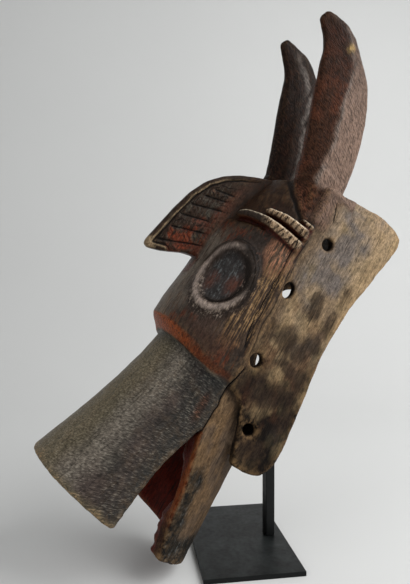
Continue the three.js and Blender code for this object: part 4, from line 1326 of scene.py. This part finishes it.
class MASK_OT_stand(Operator):
    """Gives the stand its worn edges and satin black paint"""

    bl_idname = "mask.stand"
    bl_label = "Finish the stand"

    def execute(self, context):
        finish = context.scene.stand_finish
        material = black_steel_material(values_of(finish))
        for node in ("stand_plate", "stand_post", "stand_crossbar"):
            piece = solid_piece(node.replace("stand", "steel"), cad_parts[node].data.copy())
            with_modifier(piece, "WELD")
            with_modifier(piece, "BEVEL", width=finish.bevel, segments=2, limit_method="ANGLE")
            piece.data.materials.clear()
            piece.data.materials.append(material)
            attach(piece, "root")
            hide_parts(node)
        return {"FINISHED"}


def backdrop(material):
    """One sheet of paper: flat under the stand, curved up behind it."""
    start = PAPER_BACK - PAPER_BEND
    profile = [(-PAPER_FRONT, 0.0), (0.0, 0.0), (start, 0.0)]
    for step in range(1, BEND_STEPS + 1):
        angle = step / BEND_STEPS * math.pi / 2
        profile.append((start + PAPER_BEND * math.sin(angle), PAPER_BEND - PAPER_BEND * math.cos(angle)))
    profile.append((PAPER_BACK, PAPER_HIGH))
    mesh = bmesh.new()
    rows = []
    for away, high in profile:
        rows.append([mesh.verts.new((across, away, high)) for across in (-PAPER_HALF, PAPER_HALF)])
    for (a, b), (c, d) in zip(rows, rows[1:]):
        mesh.faces.new((a, b, d, c))
    data = bpy.data.meshes.new("paper")
    mesh.to_mesh(data)
    mesh.free()
    data.materials.append(material)
    data.shade_smooth()
    return solid_piece("paper", data)


def area_light(name, place, size, power):
    """A square soft box that looks at the mask."""
    light = bpy.data.lights.new(name, "AREA")
    light.size = size
    light.energy = power
    lamp = solid_piece(name, light)
    lamp.location = place
    lamp.rotation_euler = (Vector(LIGHT_TARGET) - Vector(place)).to_track_quat("-Z", "Y").to_euler()
    return lamp


class MASK_OT_studio(Operator):
    """Lays the paper, hangs the lights and sets the camera"""

    bl_idname = "mask.studio"
    bl_label = "Set up the studio"

    def execute(self, context):
        studio = context.scene.studio
        paper = backdrop(paper_material(tuple(studio.paper)))
        paper.rotation_euler = (0, 0, CAMERA_TURN)
        paper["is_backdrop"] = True
        area_light("key", *KEY_LIGHT, studio.key_power)
        area_light("fill", *FILL_LIGHT, studio.fill_power)
        world = bpy.data.worlds.new("studio_air")
        world.use_nodes = True
        sky = world.node_tree.nodes["Background"]
        sky.inputs["Color"].default_value = (1, 1, 1, 1)
        sky.inputs["Strength"].default_value = studio.air
        context.scene.world = world
        context.scene.view_settings.view_transform = "Standard"
        camera = bpy.data.cameras.new("camera")
        camera.lens = studio.lens
        camera.sensor_width = SENSOR_WIDTH
        view = solid_piece("camera", camera)
        view.location = CAMERA_PLACE
        view.rotation_euler = Euler((CAMERA_TILT, 0, CAMERA_TURN))
        context.scene.camera = view
        return {"FINISHED"}


class MASK_PT_sidebar(Panel):
    """Lists the steps in the sidebar"""

    bl_label = "Buffalo mask"
    bl_space_type = "VIEW_3D"
    bl_region_type = "UI"
    bl_category = "Mask"

    def draw(self, context):
        for step in STEPS:
            self.layout.operator(step.bl_idname)
        for group in GROUPS:
            held = getattr(context.scene, group)
            for key in held.__annotations__:
                self.layout.prop(held, key)


STEPS = (MASK_OT_studio, MASK_OT_carving, MASK_OT_stand)
GROUPS = {
    "mask_carving": MaskCarving, "mask_paint": MaskPaint, "stand_finish": StandFinish, "studio": Studio}
CLASSES = (*GROUPS.values(), *STEPS, MASK_PT_sidebar)


def register():
    for item in CLASSES:
        bpy.utils.register_class(item)
    for name, group in GROUPS.items():
        setattr(Scene, name, PointerProperty(type=group))


def unregister():
    for name in GROUPS:
        delattr(Scene, name)
    for item in reversed(CLASSES):
        bpy.utils.unregister_class(item)


def main():
    """Makes everything in order."""
    register()
    bpy.ops.mask.studio()
    bpy.ops.mask.carving()
    bpy.ops.mask.stand()
    boxes = {"cad": CAD_BOX, "visual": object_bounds()}
    boxes = {name: [list(corner) for corner in box] for name, box in boxes.items()}


if __name__ == "__main__":
    main()
